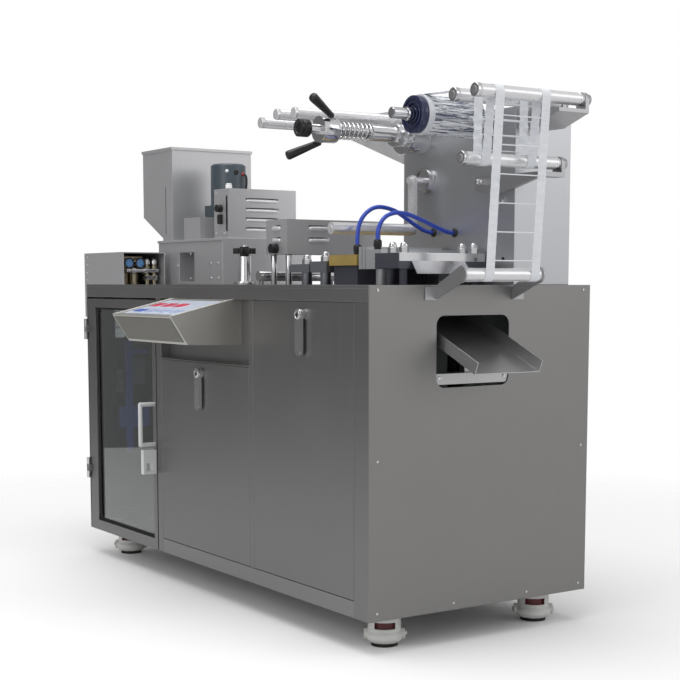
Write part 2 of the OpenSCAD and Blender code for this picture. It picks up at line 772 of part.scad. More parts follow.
// A domed cap nut standing on a face
module cap_nut() {
  cylinder(r = nut_r, h = 12, $fn = 6);
  translate([0, 0, 12 - eps]) cylinder(r1 = nut_r - 2, r2 = nut_r - 4, h = 6);
  translate([0, 0, 16]) sphere(nut_r - 3.5);
}
module cap_nuts() {
  color(chrome) place() {
    for (i = [0, 1]) for (y = post_ys) {
      translate([(bar_xs[i][0] + bar_xs[i][1]) / 2, y, bar_z + bar_ts[i]]) cap_nut();
    }
    for (x = [punch_x[0] + 37, punch_x[1] - 13]) for (y = [punch_y0 + 22, st_y1 - 24]) {
      translate([x, y, punch_z + punch_t]) cap_nut();
    }
  }
}
guard_slope = 52;
guard_s = [36, 150, 2];
module guard_sheet() {
  color([0.85, 0.85, 0.86]) place() translate([punch_x[1], punch_y0 + 32, punch_z]) {
    rotate([0, guard_slope, 0]) cube(guard_s);
  }
}

// Air hoses from two elbows into the tower
elbow_1 = [board_x[1] - 15, st_y0 + 13];
elbow_2 = [seal_x[1] - 33, st_y0 + 13];
elbow_h = 22;
elbow_r = 8;
module hose_elbows() {
  color(black) place() {
    translate([elbow_1[0], elbow_1[1], board_z + board_t]) cylinder(r = elbow_r, h = elbow_h);
    translate([elbow_2[0], elbow_2[1], seal_top]) cylinder(r = elbow_r, h = elbow_h);
  }
}
// Hose routes as [across, up from the deck], in a plane of constant x
hose_1_route = [[178, 92], [178, 106], [179, 120], [182, 135], [188, 149], [197, 161], [209, 171], [223, 178],
  [239, 181], [256, 180], [272, 177], [288, 172], [304, 164], [320, 155], [336, 146], [352, 138], [367, 131],
  [380, 127], [390, 125], [400, 125]];
hose_2_route = [[178, 102], [178, 114], [180, 126], [185, 138], [192, 148], [202, 156], [214, 161], [228, 164],
  [243, 164], [259, 162], [275, 158], [291, 153], [307, 148], [323, 142], [339, 136], [354, 131], [368, 126],
  [380, 123], [390, 122], [400, 122]];
hose_sides = 10;
function hose_point(x, p) = [x - mid_x, p[0] - mid_y, deck_z + p[1]];
// Direction of a route at point i, from its neighbours
function hose_dir(route, i) =
  let (a = route[max(i - 1, 0)], b = route[min(i + 1, len(route) - 1)], d = b - a) d / norm(d);
// One ring of points round the route at point i
function hose_ring(x, route, i) =
  let (c = hose_point(x, route[i]), d = hose_dir(route, i))
  [for (k = [0:hose_sides - 1]) let (a = k * 360 / hose_sides)
    c + hose_d / 2 * [cos(a), -sin(a) * d[1], sin(a) * d[0]]];
module hose(x, route) {
  n = len(route);
  s = hose_sides;
  points = [for (i = [0:n - 1]) each hose_ring(x, route, i)];
  walls = [for (i = [0:n - 2]) for (k = [0:s - 1])
    [i * s + k, (i + 1) * s + k, (i + 1) * s + (k + 1) % s, i * s + (k + 1) % s]];
  first = [for (k = [0:s - 1]) k];
  last = [for (k = [s - 1:-1:0]) (n - 1) * s + k];
  polyhedron(points, concat(walls, [first, last]));
}
module air_hose_1() { color([0.16, 0.28, 0.72]) hose(elbow_1[0], hose_1_route); }
module air_hose_2() { color([0.16, 0.28, 0.72]) hose(elbow_2[0], hose_2_route); }

// Reel tower and what it carries
module tower() {
  color([0.55, 0.56, 0.57]) place() {
    span([tower_left, tower_y, deck_z], [tower_r, tower_y + tower_w, tower_z]);
  }
}
guide_rod_r = 13;
guide_y0 = 130;
guide_plate_y = 408;
guide_plate_t = 12;
guide_axes = [for (p = [[-238, 8], [-163, 21], [-81, 17]]) [tower_left + p[0], tower_z + p[1]]];
guide_left = tower_left - 263;
guide_top = tower_z + 37;
guide_root_h = 101;
guide_rise_l = 73;
module guide_arm() {
  color(chrome) place() {
    y_plate(guide_plate_y, guide_plate_y + guide_plate_t) difference() {
      polygon([[tower_left, tower_z - guide_root_h], [tower_left, tower_z], [tower_left - guide_rise_l, guide_top],
        [guide_left, guide_top], [guide_left, tower_z - 13]]);
      translate([tower_left - 28, tower_z - 67]) circle(6);
    }
    for (a = guide_axes) y_bar(a, guide_y0, guide_plate_y + eps, guide_rod_r);
  }
}
cup_r = 45;
cup_y = 345;
dancer_y = 355;
dancer_t = 10;
dancer_collar_y = 386;
collar_disc_r = 32;
stop_slot = [17, 24];
stop_slot_d = 8;
stop_slot_arc = 170;
reel_bearing_y = 388;
module tower_bearings() {
  color(chrome) place() {
    y_bar(unwind_axis, cup_y, tower_y, cup_r);
    difference() {
      y_bar(dancer_axis, dancer_collar_y, tower_y, collar_disc_r);
      translate([dancer_axis[0], dancer_collar_y - 1, dancer_axis[1]]) rotate([-90, 100, 0]) {
        rotate_extrude(angle = stop_slot_arc) translate([stop_slot[0], 0]) {
          square([stop_slot[1] - stop_slot[0], stop_slot_d + 1]);
        }
      }
    }
    y_bar(reel_axis, reel_bearing_y, tower_y, 24);
  }
}
// The top arm on the tower's end and the gusset on its front run below the rollers to a lug at the far ends
arm_y = 402;
arm_clear = 6;
arm_t = 34;
arm_tip_t = 8;
lug_t = 10;
lug_r = roller_r + 1;
arm_top = second_axis[1] - roller_r - arm_clear;
gusset_y = 388;
gusset_top = mid_axis[1] - roller_r - arm_clear;
gusset_back = 127;
gusset_t = 10;
top_far_y = 478;
mid_far_y = 452;
// A lug that holds a roller's shaft at its far end and stands on the arm below
module far_lug(axis, y, foot) {
  y_plate(y, y + lug_t) {
    translate(axis) circle(lug_r);
    translate([axis[0] - lug_r, foot]) square([2 * lug_r, axis[1] - foot]);
  }
  y_bar(axis, y + lug_t - eps, y + 2 * lug_t, lug_r - 3);
  y_bar(axis, roller_y0 - 2, y + eps, shaft_r);
}
module roller_arms() {
  top_lug_y = top_far_y + film_gap;
  mid_lug_y = mid_far_y + film_gap;
  arm_tip = top_axis[0] + lug_r;
  color(steel) place() {
    y_plate(arm_y, top_lug_y + lug_t) polygon([[tower_r, arm_top], [arm_tip, arm_top],
      [arm_tip, arm_top - arm_tip_t], [tower_r + 60, arm_top - arm_t], [tower_r, arm_top - arm_t]]);
    for (a = [top_axis, second_axis]) far_lug(a, top_lug_y, arm_top - arm_tip_t);
    y_plate(gusset_y, tower_y) polygon([[tower_r - gusset_back, gusset_top - 30], [tower_r - gusset_back, gusset_top],
      [mid_axis[0] + lug_r, gusset_top], [mid_axis[0] + lug_r, gusset_top - gusset_t],
      [tower_r - 59, gusset_top - 46]]);
    span([mid_axis[0] - lug_r, tower_y - eps, gusset_top - gusset_t],
      [mid_axis[0] + lug_r, mid_lug_y + lug_t, gusset_top]);
    far_lug(mid_axis, mid_lug_y, gusset_top - gusset_t);
  }
}
bracket_t = 4;
bracket_ys = [roller_y0 - 6 - bracket_t, gusset_y];
module roller_brackets() {
  color(steel) place() {
    for (y = bracket_ys) y_plate(y, y + bracket_t) {
      translate(lower_axis) circle(18);
      polygon([[0, deck_z - 32], [0, deck_z - 4], [lower_axis[0] - 8, lower_axis[1] + 16],
        [lower_axis[0] + 12, lower_axis[1] - 13]]);
    }
    for (y = [bracket_ys[0] - 28, bracket_ys[1]]) {
      span([0, y, deck_z - 32], [3, y + 28 + bracket_t, deck_z - 4]);
    }
    y_bar(lower_axis, bracket_ys[0], bracket_ys[1] + eps, shaft_r);
  }
}
module idle_roller(axis, y0, y1) {
  color(chrome) place() y_tube(axis, y0, y1, roller_r, shaft_r + run_gap);
}
module top_roller() { idle_roller(top_axis, roller_y0, top_far_y); }
module second_roller() { idle_roller(second_axis, roller_y0, top_far_y); }
module mid_roller() { idle_roller(mid_axis, roller_y0, mid_far_y); }
module lower_roller() {
  idle_roller(lower_axis, bracket_ys[0] + bracket_t + film_gap, bracket_ys[1] - film_gap);
}

// Unwind shaft with its clamping spring, two slanting handles and an end cap
unwind_tip_y = 60;
hub_y0 = 106;
hub_y1 = 150;
hub_r = 30;
spring_y0 = hub_y1;
spring_y1 = 250;
spring_r = 21;
spring_wire_r = 2.4;
core_r = 12;
collar_y = 318;
collar_r = 28;
key_w = 8;
key_ys = [262, 308];
key_depth = 5;
handle_root_r = 7;
handle_tip_r = 11;
handle_lean = 57;
handle_rod_r = 4;
handle_rod_l = 30;
handle_rod_in = 22;
handle_turns = [51, 225];
cap_ys = [50, 78];
cap_r = 23;
cap_rim = 3;
// Puts a piece at the root of the handle at one turn, pointing out of the hub and towards the operator
module at_handle(turn) {
  translate([unwind_axis[0], hub_y0 + 22, unwind_axis[1]]) rotate([0, -turn, 0])
  translate([hub_r + handle_root_r, 0, 0]) rotate([0, 0, -handle_lean]) rotate([0, 90, 0]) children();
}
module unwind_shaft() {
  color(chrome) place() {
    difference() {
      union() {
        y_bar(unwind_axis, unwind_tip_y, cup_y - film_gap, core_r);
        y_bar(unwind_axis, spring_y1, collar_y + 2, unwind_r);
        y_bar(unwind_axis, collar_y, cup_y - film_gap, collar_r);
        y_bar(unwind_axis, hub_y0, hub_y1, hub_r);
        for (a = handle_turns) at_handle(a) translate([0, 0, -handle_rod_in]) {
          cylinder(r = handle_rod_r, h = handle_rod_in + handle_rod_l);
        }
      }
      span([unwind_axis[0] - key_w / 2, key_ys[0], unwind_axis[1] + unwind_r - key_depth],
        [unwind_axis[0] + key_w / 2, key_ys[1], unwind_axis[1] + unwind_r + 1]);
    }
  }
}
// Coil spring with closed end turns: its round wire is swept along a helix between the hub and the tube
spring_steps = 16;
spring_sides = 8;
spring_closed = 2 * spring_wire_r + run_gap;
spring_room = spring_y1 - spring_y0 - 2 * spring_wire_r - 2 * run_gap;
spring_pitch = (spring_room - 2 * spring_closed) / (spring_turns - 2);
// Distance of the wire's middle from its start, along the shaft, after t turns
function spring_rise(t) = spring_closed * (min(t, 1) + max(t - spring_turns + 1, 0))
  + spring_pitch * min(max(t - 1, 0), spring_turns - 2);
function spring_point(i, k) =
  let (a = i * 360 / spring_steps, b = k * 360 / spring_sides, r = spring_r - spring_wire_r * (1 - cos(b)))
  [unwind_axis[0] + r * cos(a),
    spring_y0 + run_gap + spring_wire_r * (1 + sin(b)) + spring_rise(i / spring_steps),
    unwind_axis[1] + r * sin(a)];
module unwind_spring() {
  n = spring_turns * spring_steps;
  s = spring_sides;
  points = [for (i = [0:n]) for (k = [0:s - 1]) spring_point(i, k)];
  walls = [for (i = [0:n - 1]) for (k = [0:s - 1])
    [i * s + k, (i + 1) * s + k, (i + 1) * s + (k + 1) % s, i * s + (k + 1) % s]];
  first = [for (k = [0:s - 1]) k];
  last = [for (k = [s - 1:-1:0]) n * s + k];
  color(chrome) place() polyhedron(points, concat(walls, [first, last]));
}
module unwind_handles() {
  color(black) place() {
    for (a = handle_turns) at_handle(a) difference() {
      cylinder(r1 = handle_root_r, r2 = handle_tip_r, h = unwind_handle_l);
      translate([0, 0, -1]) cylinder(r = handle_rod_r + run_gap, h = handle_rod_l + 1 + run_gap);
    }
    difference() {
      y_bar(unwind_axis, cap_ys[0], cap_ys[1], cap_r);
      y_bar(unwind_axis, cap_ys[0] - 1, cap_ys[0] + cap_rim, cap_r - cap_rim);
      y_bar(unwind_axis, unwind_tip_y - run_gap, cap_ys[1] + 1, core_r + run_gap);
    }
  }
}

// Take-up reel with the wound waste film
reel_y0 = 148;
reel_shaft_r = 12;
disc_r = 41;
disc_t = 17;
// Inner radius, outer radius and depth of each turned groove in the disc's face
disc_grooves = [[17, 25, 7], [28, 35, 4]];
roll_y0 = web_y0 - 6;
module takeup_reel() {
  color([0.12, 0.14, 0.25]) place() {
    y_bar(reel_axis, reel_y0, reel_bearing_y - film_gap, reel_shaft_r);
    difference() {
      y_bar(reel_axis, roll_y0 - disc_t, roll_y0, disc_r);
      for (g = disc_grooves) y_tube(reel_axis, roll_y0 - disc_t - 1, roll_y0 - disc_t + g[2], g[1], g[0]);
    }
  }
}
module film_roll() {
  color([0.85, 0.88, 0.93]) place() y_tube(reel_axis, roll_y0, web_y1, roll_r, reel_shaft_r + run_gap);
}

// Dancer arm that hangs from the tower, with its roller
dancer_end = [dancer_axis[0], dancer_axis[1] - dancer_l];
dancer_y0 = 125;
module dancer_arm() {
  color(chrome) place() {
    y_plate(dancer_y, dancer_y + dancer_t) {
      translate([dancer_axis[0] - 12, dancer_end[1]]) square([24, dancer_l]);
      translate(dancer_axis) circle(12);
      translate(dancer_end) circle(12);
    }
    y_bar(dancer_axis, dancer_y - 8, dancer_collar_y - film_gap, 8);
    y_bar(dancer_end, dancer_y0 - 2, dancer_y + eps, shaft_r);
  }
}
module dancer_roller() {
  color(chrome) place() y_tube(dancer_end, dancer_y0, dancer_y - film_gap, roller_r, shaft_r + run_gap);
}

// Punched waste web: two edge strips and thin rungs on its way round the rollers to the reel
web_start_x = -60;
// Each stop is an axis, its radius, and 1 where the roller lies left of the travel or -1 where it lies right
web_stops = [[lower_axis, roller_r, 1], [top_axis, roller_r, 1], [mid_axis, roller_r, -1],
  [second_axis, roller_r, 1], [reel_axis, roll_r, 1]];
// Signed distance of the web's face from a stop, for the face next to left-hand rollers or the far one
function web_rho(s, far) = s[2] * (s[1] + film_gap) + (s[2] > 0 ? far : far - 1) * web_t;
// Angle of the web's right-hand normal between two stops
function web_normal(s, e, far) =
  let (d = e[0] - s[0])
  atan2(d[1], d[0]) - acos((web_rho(s, far) - web_rho(e, far)) / norm(d));
function web_turns(far) =
  let (n = [for (i = [0:3]) web_normal(web_stops[i], web_stops[i + 1], far)])
  [[-90, n[0]], [n[0], n[1] + 360], [n[1] + 360, n[2]], [n[2], n[3] + 360], [n[3] + 360, n[3] + 360]];
function web_face(far) = let (turns = web_turns(far)) concat(
  [[web_start_x, lower_axis[1] - web_rho(web_stops[0], far)]],
  [for (i = [0:4]) for (k = [0:(i < 4 ? 12 : 0)])
    let (a = turns[i][0] + (turns[i][1] - turns[i][0]) * k / 12)
    web_stops[i][0] + web_rho(web_stops[i], far) * [cos(a), sin(a)]]);
module web_strip(y0, y1) {
  near = web_face(0);
  away = web_face(1);
  y_plate(y0, y1) polygon(concat(near, [for (i = [len(away) - 1:-1:0]) away[i]]));
}
rung_h = 3;
rung_n = 6;
module web_rungs() {
  n = web_turns(0)[0][1];
  a = lower_axis + web_rho(web_stops[0], 0) * [cos(n), sin(n)];
  b = top_axis + web_rho(web_stops[1], 0) * [cos(n), sin(n)];
  for (i = [0:rung_n - 1]) {
    p = a + (b - a) * (i + 0.5) / rung_n;
    translate([p[0], web_y0 + strip_w - 1, p[1]]) rotate([0, -n, 0]) {
      cube([web_t, web_w - 2 * strip_w + 2, rung_h]);
    }
  }
}
module waste_web() {
  color([0.83, 0.85, 0.9]) place() {
    web_strip(web_y0, web_y0 + strip_w);
    web_strip(web_y1 - strip_w, web_y1);
    web_rungs();
  }
}

// Discharge chute through the end window
chute_t = 2;
chute_l = 290;
chute_y = window_y + (window_w - chute_w) / 2;
chute_tip_x = chute_reach - chute_wall_h * sin(chute_slope);
chute_tip_z = window_z + 34;
chute_bar = [37, 24];
chute_post = [18, 60];
// Height of the chute's underside at one distance from the end sheet
function chute_under(x) = chute_tip_z + (chute_tip_x - x) * tan(chute_slope);
module discharge_chute() {
  color(steel) place() {
    translate([chute_tip_x, chute_y, chute_tip_z]) rotate([0, chute_slope, 0]) {
      translate([-chute_l, 0, 0]) difference() {
        cube([chute_l, chute_w, chute_wall_h]);
        translate([-1, chute_t, chute_t]) cube([chute_l + 2, chute_w - 2 * chute_t, chute_wall_h]);
      }
    }
    translate([in_right - chute_bar[0], window_y - 30, window_z + 6]) {
      cube([chute_bar[0], window_w + 60, chute_bar[1]]);
    }
    post_x = in_right - chute_bar[0];
    post_z = window_z + 5 + chute_bar[1];
    post_r = post_x + chute_post[0];
    y_plate(web_y - chute_post[1] / 2, web_y + chute_post[1] / 2) polygon([[post_x, post_z], [post_r, post_z],
      [post_r, chute_under(post_r) + chute_t / 2], [post_x, chute_under(post_x) + chute_t / 2]]);
  }
}

posts();
long_rails();
end_rails();
floor_pan();
deck_plate();
end_panel();
side_panels();
front_panels();
door_hinges();
inner_drive();
control_box();
control_keypad();
caster_bodies();
caster_pads();
caster_rings();
air_cover();
air_gauges();
air_filters();
feeder_base();
hopper();
feeder_motor();
feeder_covers();
knobs();
support_columns();
heater_cover();
forming_station();
sealing_table();
forming_board();
sealing_block();
die_block();
punch_bar();
cap_nuts();
guard_sheet();
hose_elbows();
air_hose_1();
air_hose_2();
tower();
guide_arm();
tower_bearings();
roller_arms();
roller_brackets();
waste_web();
discharge_chute();
door_frame();
door_glass();
door_handle();
middle_lever();
right_lever();
handwheel();
unwind_shaft();
unwind_spring();
unwind_handles();
takeup_reel();
film_roll();
top_roller();
second_roller();
mid_roller();
lower_roller();
dancer_arm();
dancer_roller();
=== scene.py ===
import math

import bmesh
import bpy
import numpy as np
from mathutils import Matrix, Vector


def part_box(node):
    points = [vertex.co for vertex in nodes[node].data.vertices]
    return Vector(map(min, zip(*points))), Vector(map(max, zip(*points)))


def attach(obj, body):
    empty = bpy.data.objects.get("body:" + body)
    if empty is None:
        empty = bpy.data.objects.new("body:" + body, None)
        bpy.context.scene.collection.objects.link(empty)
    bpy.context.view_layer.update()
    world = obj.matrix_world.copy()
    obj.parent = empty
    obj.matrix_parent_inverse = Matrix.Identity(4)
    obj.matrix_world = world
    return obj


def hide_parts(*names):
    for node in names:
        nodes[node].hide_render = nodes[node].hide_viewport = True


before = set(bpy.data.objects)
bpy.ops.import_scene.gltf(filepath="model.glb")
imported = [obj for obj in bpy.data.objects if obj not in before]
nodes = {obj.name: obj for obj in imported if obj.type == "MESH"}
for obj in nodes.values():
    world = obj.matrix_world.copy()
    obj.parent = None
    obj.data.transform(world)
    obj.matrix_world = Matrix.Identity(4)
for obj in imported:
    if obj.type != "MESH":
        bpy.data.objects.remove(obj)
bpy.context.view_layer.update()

# View, floor and light. The machine stands on a pale studio floor that fades into a white surround. Soft
# boxes hang above it, before it and beyond its discharge end. A dark curtain far out on the operator's left
# is what the brushed front sheets and the glass mirror.
scene = bpy.context.scene
scene.view_settings.view_transform = "Standard"
camera = bpy.data.objects.new("camera", bpy.data.cameras.new("camera"))
camera.data.sensor_width = 36.0
camera.data.lens = 74.96
camera.data.shift_y = 0.15
camera.location = (3.10535, -1.921, 0.800)
camera.rotation_euler = (math.radians(83.58), 0.0, math.radians(56.40))
scene.collection.objects.link(camera)
scene.camera = camera


def rgb(code):
    """A hex sRGB colour as linear RGBA: c / 12.92 where dark, else ((c + 0.055) / 1.055) to the 2.4."""
    c = np.array([int(code[i:i + 2], 16) for i in (1, 3, 5)]) / 255
    c = np.where(c <= 0.04045, c / 12.92, ((c + 0.055) / 1.055) ** 2.4)
    return (*c.tolist(), 1.0)


def add(tree, kind, inputs=(), **settings):
    """Adds one node: settings go to its properties, and each input is a value or another node's output."""
    made = tree.nodes.new(kind)
    for name, value in settings.items():
        setattr(made, name, value)
    for name, value in dict(inputs).items():
        if isinstance(value, bpy.types.NodeSocket):
            tree.links.new(value, made.inputs[name])
        else:
            made.inputs[name].default_value = value
    return made


def surface(points, round_u=False, round_v=False):
    """A grid of points, rows by columns by xyz, as flat points and a quad in each cell. A round side is
    closed on itself."""
    rows, cols = points.shape[:2]
    index = np.arange(rows * cols).reshape(rows, cols)
    if round_u:
        index = np.vstack([index, index[:1]])
    if round_v:
        index = np.hstack([index, index[:, :1]])
    quads = np.stack([index[:-1, :-1], index[:-1, 1:], index[1:, 1:], index[1:, :-1]], -1).reshape(-1, 4)
    return points.reshape(-1, 3), quads


def build(name, surfaces, crease=40):
    """One mesh from several surfaces: the points at poles are merged, and edges over the crease angle, in
    degrees, are kept sharp."""
    starts = np.cumsum([0] + [len(points) for points, quads in surfaces])
    mesh = bpy.data.meshes.new(name)
    mesh.from_pydata(np.vstack([points for points, quads in surfaces]).tolist(), [],
                     np.vstack([quads + start for (points, quads), start in zip(surfaces, starts)]).tolist())
    merged = bmesh.new()
    merged.from_mesh(mesh)
    bmesh.ops.remove_doubles(merged, verts=merged.verts, dist=1e-6)
    merged.to_mesh(mesh)
    merged.free()
    mesh.polygons.foreach_set("use_smooth", np.ones(len(mesh.polygons), bool))
    mesh.set_sharp_from_angle(angle=math.radians(crease))
    return mesh


floor_r = 3.5
floor_hole = 1e-3
fade_from, fade_to = 1.3, 2.6
turn = np.linspace(0, 2 * np.pi, 97)[:-1]
rim = np.stack([np.cos(turn), np.sin(turn), 0 * turn], -1)
disc = surface(np.stack([rim * floor_hole, rim * floor_r]), round_v=True)
floor = bpy.data.objects.new("floor", build("floor", [disc]))
scene.collection.objects.link(floor)
# Studio floor paint, rolled: matt white that takes soft shadows. It fades out where the camera would see its
# edge, and is a shade greyer where metal and paint mirror it.
floor_paint = bpy.data.materials.new("white_studio_floor")
floor_paint.use_nodes = True
tree = floor_paint.node_tree
tree.nodes.clear()
coords = add(tree, "ShaderNodeTexCoord")
path = add(tree, "ShaderNodeLightPath")
reach = add(tree, "ShaderNodeVectorMath", {0: coords.outputs["Object"]}, operation="LENGTH")
fade = add(tree, "ShaderNodeMapRange", {"Value": reach.outputs["Value"], "From Min": fade_from,
                                        "From Max": fade_to})
bounced = add(tree, "ShaderNodeMath", {0: path.outputs["Is Diffuse Ray"], 1: path.outputs["Is Glossy Ray"]},
              operation="MAXIMUM")
tone = add(tree, "ShaderNodeMix", {0: bounced.outputs[0], 6: rgb("#FDFDFD"), 7: rgb("#E0E0E0")},
           data_type="RGBA")
paint = add(tree, "ShaderNodeBsdfDiffuse", {"Color": tone.outputs[2]})
clear = add(tree, "ShaderNodeBsdfTransparent")
edge = add(tree, "ShaderNodeMix", {0: bounced.outputs[0], 2: fade.outputs[0], 3: 0.0}, data_type="FLOAT")
mixed = add(tree, "ShaderNodeMixShader", {0: edge.outputs[0], 1: paint.outputs[0], 2: clear.outputs[0]})
add(tree, "ShaderNodeOutputMaterial", {"Surface": mixed.outputs[0]})
floor.data.materials.append(floor_paint)

ambient_level = 0.6
bright_side = (0.78, 0.62, 0.0)
world = bpy.data.worlds.new("studio")
scene.world = world
world.use_nodes = True
tree = world.node_tree
tree.nodes.clear()
coords = add(tree, "ShaderNodeTexCoord")
side = add(tree, "ShaderNodeVectorMath", {0: coords.outputs["Generated"], 1: bright_side},
           operation="DOT_PRODUCT")
mirrored = add(tree, "ShaderNodeMapRange", {"Value": side.outputs["Value"], "From Min": -0.75,
                                            "From Max": 0.9, "To Min": 0.32, "To Max": 0.78})
curtain = add(tree, "ShaderNodeMapRange", {"Value": side.outputs["Value"], "From Min": -1.0,
                                           "From Max": -0.86, "To Min": 0.5, "To Max": 1.0})
dimmed = add(tree, "ShaderNodeMath", {0: mirrored.outputs[0], 1: curtain.outputs[0]},
             operation="MULTIPLY")
path = add(tree, "ShaderNodeLightPath")
glossy = add(tree, "ShaderNodeMath", operation="MAXIMUM",
             inputs={0: path.outputs["Is Glossy Ray"], 1: path.outputs["Is Transmission Ray"]})
ambient = add(tree, "ShaderNodeMix", {0: glossy.outputs[0], 2: ambient_level, 3: dimmed.outputs[0]},
              data_type="FLOAT")
shown = add(tree, "ShaderNodeMix", {0: path.outputs["Is Camera Ray"], 2: ambient.outputs[0], 3: 1.0},
            data_type="FLOAT")
sky = add(tree, "ShaderNodeBackground", {"Color": (1.0, 1.0, 1.0, 1.0), "Strength": shown.outputs[0]})
add(tree, "ShaderNodeOutputWorld", {"Surface": sky.outputs[0]})


def soft_box(name, place, aim, size, watts):
    """A square area lamp that points from its place to its aim."""
    lamp = bpy.data.objects.new(name, bpy.data.lights.new(name, "AREA"))
    lamp.data.size = size
    lamp.data.energy = watts
    away = np.array(place, float) - np.array(aim, float)
    flat = math.hypot(away[0], away[1])
    lamp.location = place
    lamp.rotation_euler = (math.atan2(flat, away[2]), 0.0, math.atan2(away[0], -away[1]))
    scene.collection.objects.link(lamp)
    return lamp


soft_box("top_box", (0.3, -0.6, 4.0), (0.0, 0.0, 0.5), size=3.0, watts=84)
soft_box("end_box", (3.4, 2.6, 2.4), (0.3, 0.0, 0.7), size=2.2, watts=16)
soft_box("front_box", (1.2, -4.0, 2.2), (0.0, 0.0, 0.6), size=2.2, watts=27)

# Air hoses. Two blue polyurethane tubes of 10 mm rise from black push-in elbows on the stations, arch over
# the deck and go into the reel tower's front sheet. Each route gives the way across and up from the deck.
deck_z = 795
hose_r = 5
hose_xs = (-305, -223)
hose_1_route = [[178, 92], [178, 106], [179, 120], [182, 135], [188, 149], [197, 161], [209, 171],
                [223, 178], [239, 181], [256, 180], [272, 177], [288, 172], [304, 164], [320, 155],
                [336, 146], [352, 138], [367, 131], [380, 127], [390, 125], [400, 125]]
hose_2_route = [[178, 102], [178, 114], [180, 126], [185, 138], [192, 148], [202, 156], [214, 161],
                [228, 164], [243, 164], [259, 162], [275, 158], [291, 153], [307, 148], [323, 142],
                [339, 136], [354, 131], [368, 126], [380, 123], [390, 122], [400, 122]]
corner = np.array([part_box("end_panel")[1][0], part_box("deck_plate")[0][1], 0.0])


def at(points):
    """Millimetres from the discharge end, the operator's face and the floor, as metres in the frame."""
    return np.asarray(points, float) / 1000 + corner


def smooth_path(points, per=6):
    """A Catmull-Rom curve through the points, with the given number of steps from each to the next."""
    p = np.vstack([2 * points[0] - points[1], points, 2 * points[-1] - points[-2]])
    t = np.linspace(0, 1, per, endpoint=False)[:, None, None]
    a, b, c, d = p[:-3], p[1:-2], p[2:-1], p[3:]
    s = 0.5 * (2 * b + (c - a) * t + (2 * a - 5 * b + 4 * c - d) * t ** 2 + (3 * b - a - 3 * c + d) * t ** 3)
    return np.vstack([s.transpose(1, 0, 2).reshape(-1, 3), points[-1:]])


def swept(path, radius, sides=16, looped=False, side=(0.0, 1.0, 0.0)):
    """A circle carried along a path in millimetres: each ring stands square to the path, on a frame turned as
    little as possible from a side direction, which is up for a level path and along X for one in an upright
    plane. An open path is closed at its ends, a looped one on itself."""
    path = np.asarray(path, float)
    along = np.roll(path, -1, 0) - np.roll(path, 1, 0) if looped else np.gradient(path, axis=0)
    along /= np.linalg.norm(along, axis=1)[:, None]
    if not looped:
        path = np.vstack([path[:1], path, path[-1:]])
        along = np.vstack([along[:1], along, along[-1:]])
        if np.ptp(path[:, 2]) < 1e-6:
            side = (0.0, 0.0, 1.0)
        elif np.ptp(path[:, 0]) < 1e-6:
            side = (1.0, 0.0, 0.0)
    first = np.cross(along, side)
    first /= np.linalg.norm(first, axis=1)[:, None]
    second = np.cross(along, first)
    r = np.full(len(path), float(radius))
    if not looped:
        r[[0, -1]] = 0.0
    a = np.linspace(0, 2 * np.pi, sides, endpoint=False)[None, :, None]
    rings = path[:, None] + r[:, None, None] * (np.cos(a) * first[:, None] + np.sin(a) * second[:, None])
    return surface(at(rings), round_u=looped, round_v=True)


def show(name, surfaces, body, finish, replaces=(), crease=40):
    """Builds a piece from its surfaces and puts it into the scene: it rides on a body, has a finish, and may
    stand for CAD nodes."""
    piece = bpy.data.objects.new(name, build(name, surfaces, crease))
    scene.collection.objects.link(piece)
    piece.data.materials.append(finish)
    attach(piece, body)
    if replaces:
        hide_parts(*replaces)
    return piece


def new_finish(name, sockets):
    """A material with one principled shader, whose plain values are set on its own sockets."""
    made = bpy.data.materials.new(name)
    made.use_nodes = True
    made.node_tree.nodes.clear()
    shader = add(made.node_tree, "ShaderNodeBsdfPrincipled", sockets)
    add(made.node_tree, "ShaderNodeOutputMaterial", {"Surface": shader.outputs[0]})
    return made, made.node_tree, shader


def mottled(name, sockets, low, high, size_mm, roughness, stretch=(1, 1, 1), relief_mm=0.0, cloud_mm=260):
    """A finish with noise of one size on Object coordinates, stretched along an axis where it is brushed,
    and slow clouds over it. They mix two colours, spread the roughness and, where asked, lift the skin."""
    finish, tree, shader = new_finish(name, sockets)
    coords = add(tree, "ShaderNodeTexCoord")
    scale = [part * 1000.0 / size_mm for part in stretch]
    placed = add(tree, "ShaderNodeMapping", {"Vector": coords.outputs["Object"], "Scale": scale})
    grain = add(tree, "ShaderNodeTexNoise", {"Vector": placed.outputs[0], "Scale": 1.0, "Detail": 3.0})
    cloud = add(tree, "ShaderNodeTexNoise", {"Vector": coords.outputs["Object"], "Scale": 1000.0 / cloud_mm})
    cloud_share = 0.4
    blend = add(tree, "ShaderNodeMix", {0: cloud_share, 2: grain.outputs["Fac"], 3: cloud.outputs["Fac"]},
                data_type="FLOAT")
    tone = add(tree, "ShaderNodeMix", {0: blend.outputs[0], 6: rgb(low), 7: rgb(high)}, data_type="RGBA")
    tree.links.new(tone.outputs[2], shader.inputs["Base Color"])
    rough = add(tree, "ShaderNodeMapRange", {"Value": blend.outputs[0], "From Min": 0.3, "From Max": 0.7,
                                             "To Min": roughness[0], "To Max": roughness[1]})
    tree.links.new(rough.outputs[0], shader.inputs["Roughness"])
    if relief_mm:
        bump = add(tree, "ShaderNodeBump", {"Height": grain.outputs["Fac"], "Strength": 0.5,
                                            "Distance": relief_mm / 1000.0})
        tree.links.new(bump.outputs[0], shader.inputs["Normal"])
    return finish


